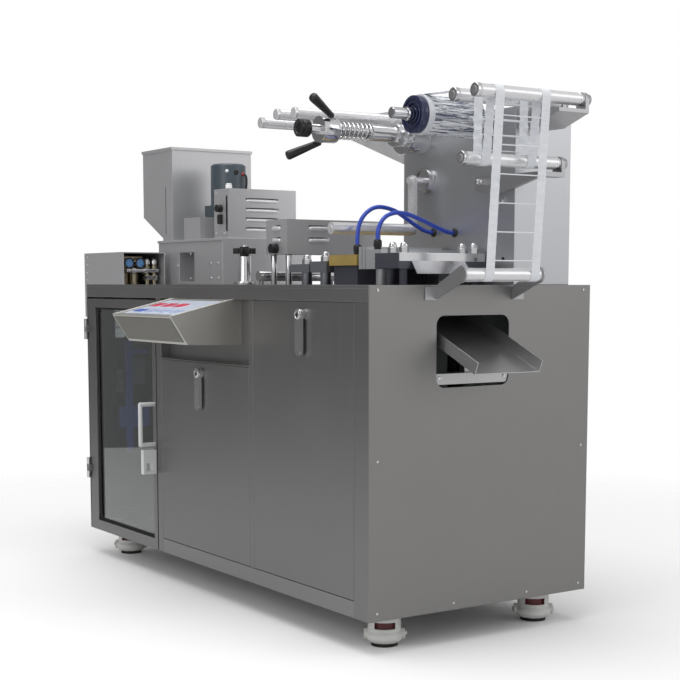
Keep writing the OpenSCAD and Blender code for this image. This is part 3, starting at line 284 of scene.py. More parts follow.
# Polyurethane tube, extruded: a clear mid blue with a soft highlight along its length.
hose_blue = mottled("blue_polyurethane_tube", {"Coat Weight": 0.2, "IOR": 1.5}, "#2440A8", "#3152C6",
                    size_mm=25, roughness=(0.28, 0.36))
hoses = (("air_hose_left", hose_xs[0], hose_1_route, "air_hose_1"),
         ("air_hose_right", hose_xs[1], hose_2_route, "air_hose_2"))
for name, x, route, solid in hoses:
    line = smooth_path(np.array([[x, y, deck_z + z] for y, z in route], float))
    hose = show(name, [swept(line, hose_r)], "machine", hose_blue, [solid])


def coat(finish, *names):
    """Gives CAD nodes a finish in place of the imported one."""
    for name in names:
        nodes[name].data.materials.clear()
        nodes[name].data.materials.append(finish)


def soften(width_mm, *names):
    """Breaks the sharp edges of CAD nodes: their loose triangles are welded, then edges over 35 degrees are
    rounded."""
    for name in names:
        weld = nodes[name].modifiers.new("weld", "WELD")
        weld.merge_threshold = 0.00002
        edge = nodes[name].modifiers.new("edge", "BEVEL")
        edge.width = width_mm / 1000
        edge.segments = 2
        edge.limit_method = "ANGLE"
        edge.angle_limit = math.radians(35)
        edge.harden_normals = True


def turned(profile, foot, axis, sides=32):
    """A profile of (radius, height) rows turned round an axis from its foot: each ring is the foot plus the
    height along the axis plus the radius round it. All in millimetres."""
    axis = np.array(axis, float) / np.linalg.norm(axis)
    first = np.cross(axis, [0.0, 0.0, 1.0] if abs(axis[2]) < 0.9 else [1.0, 0.0, 0.0])
    first /= np.linalg.norm(first)
    a = np.linspace(0, 2 * np.pi, sides, endpoint=False)[None, :, None]
    r, h = np.array(profile, float).T[:, :, None, None]
    rings = np.asarray(foot, float) + h * axis + r * (np.cos(a) * first + np.sin(a) * np.cross(axis, first))
    return surface(at(rings), round_v=True)


def heads(places, axis, r=3.6, h=2.2, sides=20):
    """Screw heads with a chamfer and a round socket, turned at each place; six sides make hexagon bolts."""
    row = [(0, -0.5), (r, -0.5), (r, 0.65 * h), (0.8 * r, h), (0.45 * r, h), (0.42 * r, 0.5 * h),
           (0, 0.45 * h)]
    return [turned(row, place, axis, sides) for place in places]


# Aluminium alloy, sand cast and left bare: pale, dull, with a grainy skin that breaks up the light.
cast_grey = mottled("sand_cast_grey_alloy", {"IOR": 1.5}, "#C8C8C5", "#DEDEDB", size_mm=3.0,
                    roughness=(0.45, 0.6), relief_mm=0.25, cloud_mm=30)
# Rubber, moulded: near black and matt, with only a broad grey sheen.
black_rubber = mottled("black_moulded_rubber", {"IOR": 1.5}, "#0E0E0F", "#1B1B1C", size_mm=4,
                       roughness=(0.6, 0.8), relief_mm=0.05)
# Plastic, moulded with ribs: dark red, and near black in the hollows between them as painted shade.
ring_red = mottled("dark_red_thumb_ring", {"IOR": 1.5}, "#120608", "#74181D", size_mm=5.0,
                   roughness=(0.35, 0.5), stretch=(1, 1, 0.15), relief_mm=0.3, cloud_mm=20)
# Steel, polished and plated: clear bands of light and dark, and no colour of its own.
bright_steel = mottled("bright_plated_steel", {"Metallic": 1.0}, "#CDCDCF", "#E2E2E4", size_mm=45,
                       roughness=(0.10, 0.18), cloud_mm=120)
coat(cast_grey, "caster_bodies")
soften(1.0, "caster_bodies")
coat(black_rubber, "caster_pads")
coat(ring_red, "caster_rings")
caster_spots = [(x, y) for x in (-75, -1380) for y in (95, 531)]
boss_z = 25
boss_reach = 46
boss_turn = math.radians(33)
boss_way = np.array([math.sin(boss_turn), math.cos(boss_turn), 0.0])
axle_bolts = []
for x, y in caster_spots:
    for way in (boss_way, -boss_way):
        axle_bolts += heads([np.array([x, y, boss_z]) + boss_reach * way], way, r=6.5, h=3.5, sides=6)
show("caster_axle_bolts", axle_bolts, "machine", bright_steel)

# Cabinet. Brushed stainless sheet on a welded frame: rails and posts with lift-off panels between them, a
# one-piece end sheet at the discharge end and a thick deck plate on top. The grain runs along each sheet.

# Stainless sheet, belt brushed upright: mid grey, with reflections drawn out across the grain.
# The real grain is about 0.1 mm wide and is drawn at 1.6 mm so that it shows.
upright_sheet = mottled("brushed_stainless_upright", {"Metallic": 1.0}, "#858484", "#939292", size_mm=1.6,
                        roughness=(0.36, 0.46), stretch=(1, 1, 0.012), relief_mm=0.004)
# The same sheet with its grain along the machine, so that rails and deck catch the light differently.
level_sheet = mottled("brushed_stainless_level", {"Metallic": 1.0}, "#8D8C8C", "#9C9B9B", size_mm=1.6,
                      roughness=(0.36, 0.46), stretch=(0.012, 1, 1), relief_mm=0.004)
# The same sheet, copied for the end face and set a shade warmer: its tone is painted light, matched to how
# the light falls on that face.
end_sheet = mottled("brushed_stainless_end_lit_copy", {"Metallic": 1.0}, "#858483", "#929190", size_mm=1.6,
                    roughness=(0.36, 0.46), stretch=(1, 1, 0.012), relief_mm=0.004)
coat(upright_sheet, "posts", "side_panels", "front_panels")
coat(end_sheet, "end_panel")
coat(level_sheet, "long_rails", "end_rails", "floor_pan", "deck_plate")
soften(1.2, "posts", "end_panel", "side_panels", "front_panels", "long_rails", "deck_plate")
end_screws = [(0, y, z) for y in (22, 604) for z in (784, 422, 93)] + [(0, 443, 91), (0, 230, 91)]
show("end_sheet_screws", heads(end_screws, (1, 0, 0), r=3.0, h=1.8), "machine", bright_steel)
far_screws = [(-1455, y, z) for y in (150, 313, 604) for z in (690, 422, 93)]
show("far_end_screws", heads(far_screws, (-1, 0, 0), r=3.0, h=1.8), "machine", bright_steel)
back_xs = (-1380, -1200, -1020, -955, -739, -522, -467, -280, -80)
back_screws = heads([(x, 626, z) for x in back_xs for z in (132, 740)], (0, 1, 0), r=3.6, h=2.2)
show("back_panel_screws", back_screws, "machine", bright_steel)

# Glass door. A folded stainless frame on two plated knuckle hinges, with a glass pane in a black rubber
# gasket and a light grey moulded pull over its slotted latch.

# ABS, moulded: light grey and smooth, with a satin highlight.
pull_grey = mottled("light_grey_moulding", {"IOR": 1.5}, "#CFD0D1", "#DEDFE0", size_mm=8,
                    roughness=(0.3, 0.4), relief_mm=0.02)
# Float glass, polished by fire: clear with a faint green cast, and a strong slanting reflection of the floor.
# The coat stands for the pane's second face.
door_glass = new_finish("float_glass", {"Base Color": rgb("#DDE8E6"), "Roughness": 0.01, "IOR": 1.5,
                                        "Transmission Weight": 1.0, "Coat Weight": 0.8})[0]
coat(bright_steel, "door_hinges")
coat(upright_sheet, "door_frame")
coat(pull_grey, "door_handle")
coat(door_glass, "door_glass")
soften(1.2, "door_frame")
soften(1.5, "door_handle")
pane_lo, pane_hi = np.array(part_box("door_glass")) * 1000 - corner * 1000
gasket_r = 3.5
gasket_in = 3.0
gasket_out = 1.5
gasket_bend = 14.0


def round_loop(lo, hi, bend, y, steps=8):
    """A rectangle in X and Z with arc corners, as a loop of points at one depth."""
    a = (np.linspace(0, np.pi / 2, steps) + np.arange(4)[:, None] * np.pi / 2).ravel()
    sign = np.repeat([[1, 1], [-1, 1], [-1, -1], [1, -1]], steps, 0)
    mid, half = (np.array(lo) + hi) / 2, (np.array(hi) - lo) / 2 - bend
    x, z = (mid + sign * half + bend * np.stack([np.cos(a), np.sin(a)], -1)).T
    return np.stack([x, np.full_like(x, y), z], -1)


loop = round_loop(pane_lo[[0, 2]] + gasket_in, pane_hi[[0, 2]] - gasket_in, gasket_bend,
                  pane_lo[1] - gasket_out)
show("door_gasket", [swept(loop, gasket_r, sides=12, looped=True)], "door", black_rubber)

# Lever locks. Plated swing levers on the lift-off panels, each cast in one piece with its boss. A turned key
# barrel is pressed into the boss.
coat(bright_steel, "middle_lever", "right_lever")
soften(2.0, "middle_lever", "right_lever")
lever_face = -14
barrel_floor = 1.4
keyhole = [(0, 0), (1.1, 0), (1.1, 0.4), (0, 0.4)]
barrel = [(0, -0.5), (10.5, -0.5), (10.5, 1.2), (9.3, 2.2), (7.5, 2.2), (7.0, barrel_floor),
          (0, barrel_floor)]
for body, x, z in (("middle_lever", -747.5, 571), ("right_lever", -262.5, 729)):
    name = body + "_barrel"
    hole = turned(keyhole, (x, lever_face - barrel_floor, z), (0, -1, 0), sides=12)
    show(name, [turned(barrel, (x, lever_face, z), (0, -1, 0)), hole], body, bright_steel)

# Drive behind the glass. A gear case with a ribbed motor is bolted to the floor pan, in dark satin paint. A
# light grey control case and a blue painted column hang from the deck, and the column carries two cross
# arms and a red stop.


def plate(lo, hi, thin, bend=2.0, edge=0.6, steps=5):
    """A flat block: a rectangle with arc corners carried along its thin axis from lo to hi, drawn in by the
    edge width at both faces and closed on their middles. All in millimetres."""
    lo, hi = np.array(lo, float), np.array(hi, float)
    u, v = (thin + 1) % 3, (thin + 2) % 3
    a = (np.linspace(0, np.pi / 2, steps) + np.arange(4)[:, None] * np.pi / 2).ravel()
    sign = np.repeat([[1, 1], [-1, 1], [-1, -1], [1, -1]], steps, 0)
    mid, half = (lo + hi)[[u, v]] / 2, (hi - lo)[[u, v]] / 2 - bend
    points = np.empty((6, len(a), 3))
    levels = (lo[thin], lo[thin], lo[thin] + edge, hi[thin] - edge, hi[thin], hi[thin])
    for row, inset in enumerate((None, edge, 0.0, 0.0, edge, None)):
        rim = mid
        if inset is not None:
            rim = mid + sign * half + (bend - inset) * np.stack([np.cos(a), np.sin(a)], -1)
        points[row][:, [u, v]] = rim
        points[row][:, thin] = levels[row]
    return points


def slab(lo, hi, thin, bend=2.0, edge=0.6):
    """A flat block with rounded corners where it stands, as a surface in the frame."""
    return surface(at(plate(lo, hi, thin, bend, edge)), round_v=True)


# Satin machine paint, sprayed: near black, with a faint broken sheen.
dark_paint = mottled("dark_satin_paint", {"Metallic": 0.2}, "#26272A", "#3A3B3F", size_mm=12,
                     roughness=(0.40, 0.55), relief_mm=0.05)
# Powder coat, baked: light grey, even and dull.
case_grey = mottled("light_grey_case_paint", {"IOR": 1.5}, "#B9BABB", "#CDCECF", size_mm=30,
                    roughness=(0.4, 0.5), relief_mm=0.03)
# Machine enamel, brushed on: deep blue, with soft lights on the rounded edges.
column_blue = mottled("blue_machine_paint", {"IOR": 1.5}, "#151F42", "#1D2B58", size_mm=15,
                      roughness=(0.3, 0.42), relief_mm=0.05)
# Plastic, moulded: plain signal red with a soft shine.
stop_red = mottled("red_moulded_plastic", {"IOR": 1.5}, "#B01E1E", "#C92C28", size_mm=10,
                   roughness=(0.3, 0.45))
coat(dark_paint, "inner_drive")
drive_axis = (320, 173)
rib_n = 22
rib_foot_r, rib_top_r = 70.4, 76.0
rib_x = np.linspace(-1206, -1054, 4 * rib_n + 1)
rib_rise = np.where(np.arange(4 * rib_n + 1) % 4 < 2, rib_foot_r, rib_top_r)
ribs = [(0, 0), *zip(rib_rise, rib_x - rib_x[0]), (0, rib_x[-1] - rib_x[0])]
show("drive_motor_ribs", [turned(ribs, (rib_x[0], *drive_axis), (1, 0, 0), sides=64)], "machine", dark_paint)
deck_under = 786.9
case = slab((-1402, 196, 607), (-1278, 332, deck_under), thin=1, bend=6, edge=2)
show("hung_case", [case], "machine", case_grey)
column = [slab((-1186, 204, 300), (-1152, 236, deck_under), thin=1, bend=4, edge=1.5),
          slab((-1262, 206, 558), (-1060, 232, 584), thin=1, bend=4, edge=1.5),
          slab((-1240, 206, 420), (-1100, 230, 440), thin=1, bend=4, edge=1.5)]
show("drive_column", column, "machine", column_blue)
stop = [(0, 0), (9, 0), (11, 4), (11, 30), (8, 36), (0, 36)]
show("drive_stop", [turned(stop, (-1262, 219, 571), (-1, 0, 0))], "machine", stop_red)

# Wiring side of the drive. On the inside of the feeder end's wall are screwed a light grey junction case, a
# dark valve block, a blue painted bracket with its arms, and a red stop button. A lamp inside the door's free
# edge stands for the daylight that falls in through the glass.
wall_x, wall_reach = -1450.5, -1402
wall_case = [slab((wall_x, 44, 640), (wall_reach, 100, 736), thin=0, bend=5, edge=2),
             slab((wall_reach - 1, 50, 664), (wall_reach + 3, 94, 668), thin=0, bend=1, edge=0.6)]
show("wall_case", wall_case, "machine", case_grey)
valves = [slab((wall_x, 50, 478), (wall_reach, 92, 545), thin=0, bend=4, edge=1.5)]
valve_knob = [(0, 0), (8, 0), (8, 10), (6, 13), (0, 13)]
valves += [turned(valve_knob, (wall_reach - 8, y, 512), (1, 0, 0)) for y in (62, 80)]
valves += [slab((wall_x, 126, 500), (wall_reach - 6, 168, 580), thin=0, bend=8, edge=2)]
show("wall_valves", valves, "machine", dark_paint)
bracket = [slab((wall_x, 98, 300), (wall_reach + 4, 121, 634), thin=0, bend=3, edge=1.5),
           slab((wall_x, 118, 590), (wall_reach + 2, 172, 606), thin=0, bend=3, edge=1.5),
           slab((wall_x, 76, 372), (wall_reach + 2, 176, 436), thin=0, bend=6, edge=2.5)]
bracket_boss = [(0, 0), (24, 0), (26, 3), (26, 40), (22, 46), (0, 46)]
bracket.append(turned(bracket_boss, (wall_x, 150, 404), (1, 0, 0), sides=48))
show("wall_bracket", bracket, "machine", column_blue)
stop = [(0, 0), (8, 0), (8, 30), (11, 33), (11, 44), (8.5, 48), (0, 49)]
show("wall_stop", [turned(stop, (wall_x, 58, 470), (1, 0, 0))], "machine", stop_red)
day_place, day_aim = at([-1040, 110, 330]).tolist(), at([-1450, 110, 420]).tolist()
day = soft_box("door_daylight", day_place, day_aim, size=0.14, watts=1.2)
day.visible_camera = False
day.visible_transmission = False
day.visible_glossy = False

# Control box. A folded stainless wedge hung in the middle bay, with a dark plate on its front that is painted
# shade for that downward face. Its pale film keypad is sunk in a rim, with red keys in the upper row and a
# blue one at the start of the lower row.

# Stainless sheet, brushed across the box: warmer and lighter than the cabinet, with a dull gleam.
# Its grain too is drawn at 1.6 mm to show.
box_sheet = mottled("brushed_stainless_box", {"Metallic": 0.95}, "#B8B7B2", "#C8C7C2", size_mm=1.6,
                    roughness=(0.40, 0.52), stretch=(0.012, 1, 1), relief_mm=0.004)
# Polyester film, printed from behind: pale bluish white under a thin glossy skin.
pad_film = mottled("pale_keypad_film", {"IOR": 1.5, "Coat Weight": 0.3}, "#C9D3E6", "#DCE4F1", size_mm=18,
                   roughness=(0.25, 0.35))
# The same film printed red, slightly domed so that each key takes its own light.
key_red = mottled("red_key_film", {"IOR": 1.5, "Coat Weight": 0.3}, "#DF2748", "#EE4160", size_mm=12,
                  roughness=(0.25, 0.35))
# The same film printed mid blue.
key_blue = mottled("blue_key_film", {"IOR": 1.5, "Coat Weight": 0.3}, "#3C5CC4", "#5473D6", size_mm=12,
                   roughness=(0.25, 0.35))
# The same film printed pale blue, only just darker than the pad.
key_pale = mottled("pale_blue_key_film", {"IOR": 1.5, "Coat Weight": 0.3}, "#A9B9E0", "#BCC9E9", size_mm=12,
                   roughness=(0.25, 0.35))
coat(box_sheet, "control_box")
soften(1.5, "control_box")
coat(pad_film, "control_keypad")
# Painted shade: a brushed stainless plate in a warm dark grey that mirrors little, laid on the box's downward
# front to stand for the dim floor that face mirrors.
front_shade = mottled("front_plate_painted_shade", {"Metallic": 0.95}, "#6A6963", "#7A7972", size_mm=1.6,
                     roughness=(0.36, 0.48), stretch=(0.012, 1, 1), relief_mm=0.004, cloud_mm=120)
front_foot = (-905, -125, 652)
front_along = np.array([1.0, 0.0, 0.0])
front_up = np.array([0.0, -0.552, 0.834])
front_out = np.array([0.0, -0.834, -0.552])
u, v, w = np.moveaxis(plate((7, 7, -0.3), (318, 76, 1.0), thin=2, bend=4.0, edge=0.4), -1, 0)[..., None]
front = surface(at(front_foot + u * front_along + v * front_up + w * front_out), round_v=True)
show("box_front_painted_shade", [front], "machine", front_shade)
pad_foot = np.array([-905, -170, 720])
pad_slope = math.atan(45 / 195)
pad_rim = 14.5
pad_face = -1.9
key_rise = 1.6


def tilted(flat):
    """Points on the flat keypad, turned up by its slope about the front edge and set on the box."""
    x, y, z = np.moveaxis(flat, -1, 0)
    c, s = math.cos(pad_slope), math.sin(pad_slope)
    return pad_foot + np.stack([x, y * c - z * s, y * s + z * c], -1)


def keys(first, size, pitch, count):
    """A row of key caps on the sloping keypad: blocks laid flat, then tilted with the pad."""
    made = []
    for k in range(count):
        lo = np.array([pad_rim + first[0] + k * pitch, pad_rim + first[1], pad_face])
        flat = plate(lo, lo + [size[0], size[1], key_rise], thin=2, bend=3.0, edge=0.5)
        made.append(surface(at(tilted(flat)), round_v=True))
    return made


show("red_keys", keys((14, 78), (46, 34), pitch=62, count=3), "machine", key_red)
show("blue_key", keys((22, 26), (52, 24), pitch=66, count=1), "machine", key_blue)
box_w, box_d = 325, 200
edge_in, lip_in, corner_r = 0.5, 13, 4.0
pad_up = (0.0, -math.sin(pad_slope), math.cos(pad_slope))
edges = []
for inset, r in ((edge_in, 1.5), (lip_in, 1.2)):
    line = round_loop((inset, inset), (box_w - inset, box_d - inset), corner_r, 0.0)[:, [0, 2, 1]]
    edges.append(swept(tilted(line), r, sides=10, looped=True, side=pad_up))
show("keypad_rim", edges, "machine", box_sheet)
show("pale_keys", keys((88, 26), (52, 24), pitch=66, count=3), "machine", key_pale)

# Upper sheet work. The air cover, feeder, heater cover and reel tower are folded from lighter stainless with
# a finer, duller grain than the cabinet. The louvres are pressed out of the covers, each under its slit.

# Stainless sheet, finely brushed and left dull: pale silver with soft shading and few reflections.
# Its grain is drawn at 1.4 mm to show.
upper_sheet = mottled("dull_stainless_sheet", {"Metallic": 0.6}, "#B6B6B8", "#C6C6C8", size_mm=1.4,
                      roughness=(0.32, 0.44), stretch=(1, 1, 0.02), relief_mm=0.004)
# The same sheet in a heavier gauge: a shade darker, with more reflection.
tower_sheet = mottled("dull_stainless_tower", {"Metallic": 0.9}, "#B3B4B7", "#C1C2C5", size_mm=1.4,
                      roughness=(0.32, 0.42), stretch=(1, 1, 0.02), relief_mm=0.004)
coat(upper_sheet, "air_cover", "feeder_base", "feeder_covers", "heater_cover", "hopper")
coat(tower_sheet, "tower")
soften(1.2, "feeder_base", "heater_cover", "tower")
soften(0.6, "air_cover", "feeder_covers", "hopper")
# Stainless sheet for the pressed hoods, painted brighter than the flat round it: a painted highlight for the
# light that the hoods catch from above.
louvre_sheet = mottled("louvre_painted_highlight", {"Metallic": 0.5}, "#D8D8DA", "#E8E8EA", size_mm=20,
                       roughness=(0.30, 0.40))
hood_out, hood_rise, hood_drop = 4.5, 5.6, 8.4


def hood(foot, way, run, width):
    """A pressed louvre hood: an ellipse that stands out of the sheet, carried along the louvre and shrunk
    towards both ends by the root of one less the sixth power of the way along. All in millimetres."""
    u = np.linspace(-1, 1, 41)[:, None]
    t = np.linspace(0, 2 * np.pi, 24, endpoint=False)[None]
    k = np.sqrt(1 - u ** 6)
    out = (hood_out * k * np.cos(t))[..., None] * np.array(way)
    along = (u * width / 2 + 0 * t)[..., None] * np.array(run)
    up = (hood_rise * k * np.sin(t) - hood_drop)[..., None] * np.array([0, 0, 1])
    return surface(at(foot + out + along + up), round_v=True)


heater_slits = (943, 913)
hoods = [hood((-923, 286, z), (1, 0, 0), (0, -1, 0), width=106) for z in (1027, 1001, 975, 949)]
hoods += [hood((-590, 255.5, z), (1, 0, 0), (0, -1, 0), width=62) for z in heater_slits]
hoods += [hood((-640, 160.5, z), (0, -1, 0), (-1, 0, 0), width=38) for z in heater_slits]
show("louvre_hoods", hoods, "machine", louvre_sheet)

# Air unit. Two regulators with blue dial gauges and brass bowls are screwed to the deck under the folded
# cover at the feeder end, with a plated pipe and two capped valves beside them.

# Brass, nickelled and worn: yellowish grey with brown clouds and small dull lights.
valve_brass = mottled("dull_nickelled_brass", {"Metallic": 1.0}, "#857C68", "#BDB49E", size_mm=12,
                      roughness=(0.2, 0.35), relief_mm=0.01, cloud_mm=40)
# Enamel dial under a clear lens: sky blue with one sharp highlight.
gauge_blue = mottled("blue_dial_enamel", {"IOR": 1.5, "Coat Weight": 0.6}, "#4C86C4", "#6FA3D8", size_mm=10,
                     roughness=(0.12, 0.2))
coat(bright_steel, "air_gauges")
coat(valve_brass, "air_filters")
gauge_x, gauge_z = -1220, 855
gauge_ys = (28, 62)
dial = [(0, -0.3), (11.6, -0.3), (11.6, 0.2), (8, 0.7), (0, 1.0)]
bezel = [(11.4, -0.5), (14.3, -1.2), (14.6, 1.0), (13.2, 2.2), (11.4, 1.4), (11.4, -0.5)]
show("gauge_dials", [turned(dial, (gauge_x, y, gauge_z), (1, 0, 0)) for y in gauge_ys], "machine",
     gauge_blue)
# The bezels are drawn dark as painted shade: they stand for the shadow round the dials under the cover.
show("gauge_bezels_painted_shade", [turned(bezel, (gauge_x, y, gauge_z), (1, 0, 0)) for y in gauge_ys], "machine",
     dark_paint)
pipe_foot = (-1224, 20, 834)
pipe = [(0, 0), (6, 0), (6, 14), (9, 15), (9, 27), (6, 28), (6, 52), (9, 53), (9, 63), (6, 64), (6, 98),
        (0, 98)]
show("air_pipe", [turned(pipe, pipe_foot, (0, 1, 0))], "machine", bright_steel)
valve_x, valve_ys = -1232, (88, 110)
cap = [(0, -9), (8.6, -9), (8.6, -1), (7.8, 4), (5.2, 7.2), (0, 8.6)]
nut = [(0, 0), (10.6, 0), (11.6, 2), (11.6, 10), (10.6, 12), (0, 12)]
caps = [turned(cap, (valve_x, y, deck_z + 66), (0, 0, 1)) for y in valve_ys]
caps += [turned(nut, (valve_x, y, deck_z + 13), (0, 0, 1), sides=6) for y in valve_ys]
show("valve_caps", caps, "machine", bright_steel)
cover_screws = [(-1447, 0, deck_z + z) for z in (12, 34, 56, 78)]
show("air_cover_screws", heads(cover_screws, (0, -1, 0), r=3.2, h=2.0), "machine", bright_steel)

# Feeder. A sheet base with a pocket carries the hopper, the slate painted gear motor and the louvred switch
# cover, all screwed down. The small fittings are moulded in black and white plastic.

# Motor paint, sprayed over a casting: blue grey with a slightly dimpled gloss.
slate_paint = mottled("slate_motor_paint", {"IOR": 1.5, "Coat Weight": 0.15}, "#333E46", "#414D56",
                      size_mm=8, roughness=(0.33, 0.45), relief_mm=0.06)
# Phenolic plastic, moulded: black, finely grained, with a dull shine.
black_plastic = mottled("black_moulded_plastic", {"IOR": 1.5}, "#0D0D0F", "#19191C", size_mm=1.5,
                        roughness=(0.32, 0.48), relief_mm=0.02)
# Nylon, moulded: clean white, waxy and smooth.
white_plastic = mottled("white_moulded_plastic", {"IOR": 1.5}, "#E2E3E4", "#EFEFF0", size_mm=6,
                        roughness=(0.3, 0.4))
coat(slate_paint, "feeder_motor")
soften(1.5, "feeder_motor")
coat(black_plastic, "knobs")
soften(1.2, "knobs")
base_screws = [(x, 150, z) for x in (-966, -926) for z in (852, 812)]
base_screws += [(-1081, 150, 879), (-1160, 150, 847), (-1082, 150, 812), (-1240, 150, 879),
                (-1240, 150, 812)]
cover_fixings = [(-990, 180, 1040), (-990, 180, 932), (-945, 180, 932)]
feeder_screws = heads(base_screws, (0, -1, 0)) + heads(cover_fixings, (0, -1, 0), r=2.8, h=1.6)
show("feeder_screws", feeder_screws, "machine", bright_steel)
# The thin black strip on the cover's face is painted shade for the dark inside of a slot.
slit = slab((-934, 179.5, 938), (-928, 180.4, 1030), thin=1, bend=0.8, edge=0.2)
show("cover_slit_painted_shade", [slit], "machine", black_plastic)
seam = slab((-1264, 165.6, 938), (-1261.4, 166.4, 1072), thin=1, bend=0.8, edge=0.2)
show("hopper_seam", [seam], "machine", dark_paint)
rocker = [slab((-968, 171, 957), (-952, 181, 983), thin=1, bend=2, edge=1),
          slab((-965, 169.4, 971), (-955, 172, 980), thin=1, bend=1, edge=0.6)]
show("rocker_switch", rocker, "machine", black_plastic)
fitting = [(0, -1), (9, -1), (9, 9), (8, 11), (8, 13), (6.5, 14.5), (0, 14.5)]
show("cover_fitting", [turned(fitting, (-946, 196, 1051), (0, 0, 1))], "machine", white_plastic)
motor_mid, motor_r = np.array([-1096, 278]), 49


def on_motor(turn_deg, out, z):
    """A place out millimetres off the motor's barrel at one turn and height, and the way out of it there."""
    way = np.array([math.cos(math.radians(turn_deg)), math.sin(math.radians(turn_deg))])
    return np.array([*(motor_mid + (motor_r + out) * way), z]), (*way, 0.0)


plug = [(0, -2), (4.6, -2), (4.6, 0.8), (3.6, 1.8), (0, 2.2)]
show("motor_plug", [turned(plug, *on_motor(-33, 0, 1108))], "machine", white_plastic)
grommet = [(0, -2), (7, -2), (7, 1.5), (5.5, 2.6), (4, 2.6), (3.5, 1.4), (0, 1.4)]
show("motor_grommet", [turned(grommet, *on_motor(-2, 0, 1105))], "machine", black_plastic)
conduit_turn, conduit_r = 26, 3.2
conduit = [(-3, 1101), (6, 1100), (12, 1092), (13, 1078), (11, 1060), (7, 1040), (1, 1022), (-3, 1010)]
conduit = smooth_path(np.array([on_motor(conduit_turn, out, z)[0] for out, z in conduit]))
show("motor_conduit", [swept(conduit, conduit_r, sides=12)], "machine", black_plastic)
sleeve = [(0, -2), (4.2, -2), (4.2, 4), (3.6, 5), (0, 5)]
show("conduit_sleeve", [turned(sleeve, *on_motor(conduit_turn, 0, 1100.6))], "machine", stop_red)

# Stations. Turned columns, alloy forming bars on posts under domed cap nuts, a blued table with its brown
# board, the sealing block and the punch on its die, with a slanted guard and black hose elbows.

# Aluminium alloy, milled: cool mid grey with tool lines that draw the light across.
# The lines are drawn at 3 mm, coarser than the real ones, so that they show.
machined_alloy = mottled("machined_alloy", {"Metallic": 0.9}, "#8E9299", "#A2A6AD", size_mm=3.0,
                         roughness=(0.34, 0.44), stretch=(1, 0.1, 1), relief_mm=0.003)
# Aluminium alloy, ground: pale silver, flat and even.
block_alloy = mottled("ground_alloy_block", {"Metallic": 0.6}, "#B4B7BA", "#C6C8CB", size_mm=3.0,
                      roughness=(0.34, 0.44), stretch=(1, 1, 0.1), relief_mm=0.003)
# Tool steel, blued by heat: dark blue grey with a low oily gleam.
slate_steel = mottled("blued_tool_steel", {"Metallic": 0.5}, "#4A4B55", "#5B5C68", size_mm=5.0,
                      roughness=(0.35, 0.5), stretch=(1, 1, 0.2), relief_mm=0.004)
# Pressed board, bonded with resin: yellowish brown with long fibres, dull.
board_brown = mottled("pressed_brown_board", {"IOR": 1.5}, "#8E7636", "#B49A58", size_mm=5,
                      roughness=(0.5, 0.65), stretch=(0.08, 0.08, 1), relief_mm=0.08, cloud_mm=60)
coat(bright_steel, "support_columns", "cap_nuts", "punch_bar", "guard_sheet")
coat(machined_alloy, "forming_station")
coat(block_alloy, "sealing_block")
coat(slate_steel, "die_block", "sealing_table")
coat(board_brown, "forming_board")
coat(black_plastic, "hose_elbows", "handwheel")
soften(1.0, "support_columns", "cap_nuts", "punch_bar", "forming_station", "sealing_block", "die_block",
       "forming_board")
soften(1.5, "handwheel", "hose_elbows")
# Two blued plates on the plated punch bar's front face are painted shade: they darken the face that looks to
# the dim side of the studio.
ends = [slab((-186.4, 144.4, 832), (-95.6, 146.4, 846.4), thin=1, bend=1, edge=0.4),
        slab((-186.4, 144.4, 847.6), (-95.6, 146.4, 865.4), thin=1, bend=1, edge=0.4)]
show("punch_front_painted_shade", ends, "machine", slate_steel)
collar = [(0, 0), (9.4, 0), (9.8, 2), (9.8, 12), (8.6, 15), (6.2, 17), (0, 17)]
elbows = [turned(collar, (x, 178, z), (0, 0, 1), sides=8) for x, z in zip(hose_xs, (871, 881))]
show("elbow_collars", elbows, "machine", black_plastic)

# Tower fittings. The plated guide plate with its three rods, the bearing flanges, the gusset's pin and bolts,
# and black bushes where the hoses go in.

# Steel, plated and satin polished: nearly white, with long soft lights in place of reflections.
satin_steel = mottled("satin_plated_steel", {"Metallic": 0.55}, "#D6D6D8", "#EAEAEC", size_mm=45,
                      roughness=(0.22, 0.30), stretch=(1, 0.3, 1), cloud_mm=120)
coat(satin_steel, "guide_arm")
coat(bright_steel, "tower_bearings")
soften(1.0, "guide_arm", "tower_bearings")
bush = [(5.1, -0.5), (10.5, -0.5), (10.5, 2), (8.5, 4), (6.5, 5), (5.1, 5), (5.1, -0.5)]
bushes = [turned(bush, (x, 400, deck_z + z), (0, -1, 0)) for x, z in zip(hose_xs, (125, 122))]
plug = [(0, -0.5), (5, -0.5), (5, 0.5), (0, 0.5)]
bushes.append(turned(plug, (-46, 400, 853), (0, -1, 0)))
show("tower_bushes", bushes, "machine", black_plastic)
pin = [(0, -1), (7.5, -1), (7.5, 8), (6, 9), (6, 16), (4.5, 18), (0, 18)]
bolts = heads([(-49, 400, 1007), (-49, 400, 985)], (0, -1, 0), r=7, h=6, sides=6)
bolts.append(turned(pin, (-109, 388, 1028), (0, -1, 0)))
back_places = [(x, 565, z) for x in (-413, -217, -22) for z in (811, 1172)]
bolts += heads(back_places, (0, 1, 0), r=3.2, h=2.0)
show("tower_bolts", bolts, "machine", bright_steel)
rod_cap = [(0, -0.6), (11.5, -0.6), (13.4, 1.0), (13.4, 9.0), (12.6, 10.0), (0, 10.0)]
rods = [turned(rod_cap, (x, 130, z), (0, 1, 0)) for x, z in ((-665, 1196), (-590, 1209), (-508, 1205))]
show("guide_rod_caps", rods, "machine", satin_steel)

# Unwind and take-up reels. The unwind shaft is a plated tube with a keyway, clamped by a coil spring and a
# hub with two black slanting handles. On the take-up shaft a navy enamelled disc holds the wound waste film,
# which is creased along its axis.

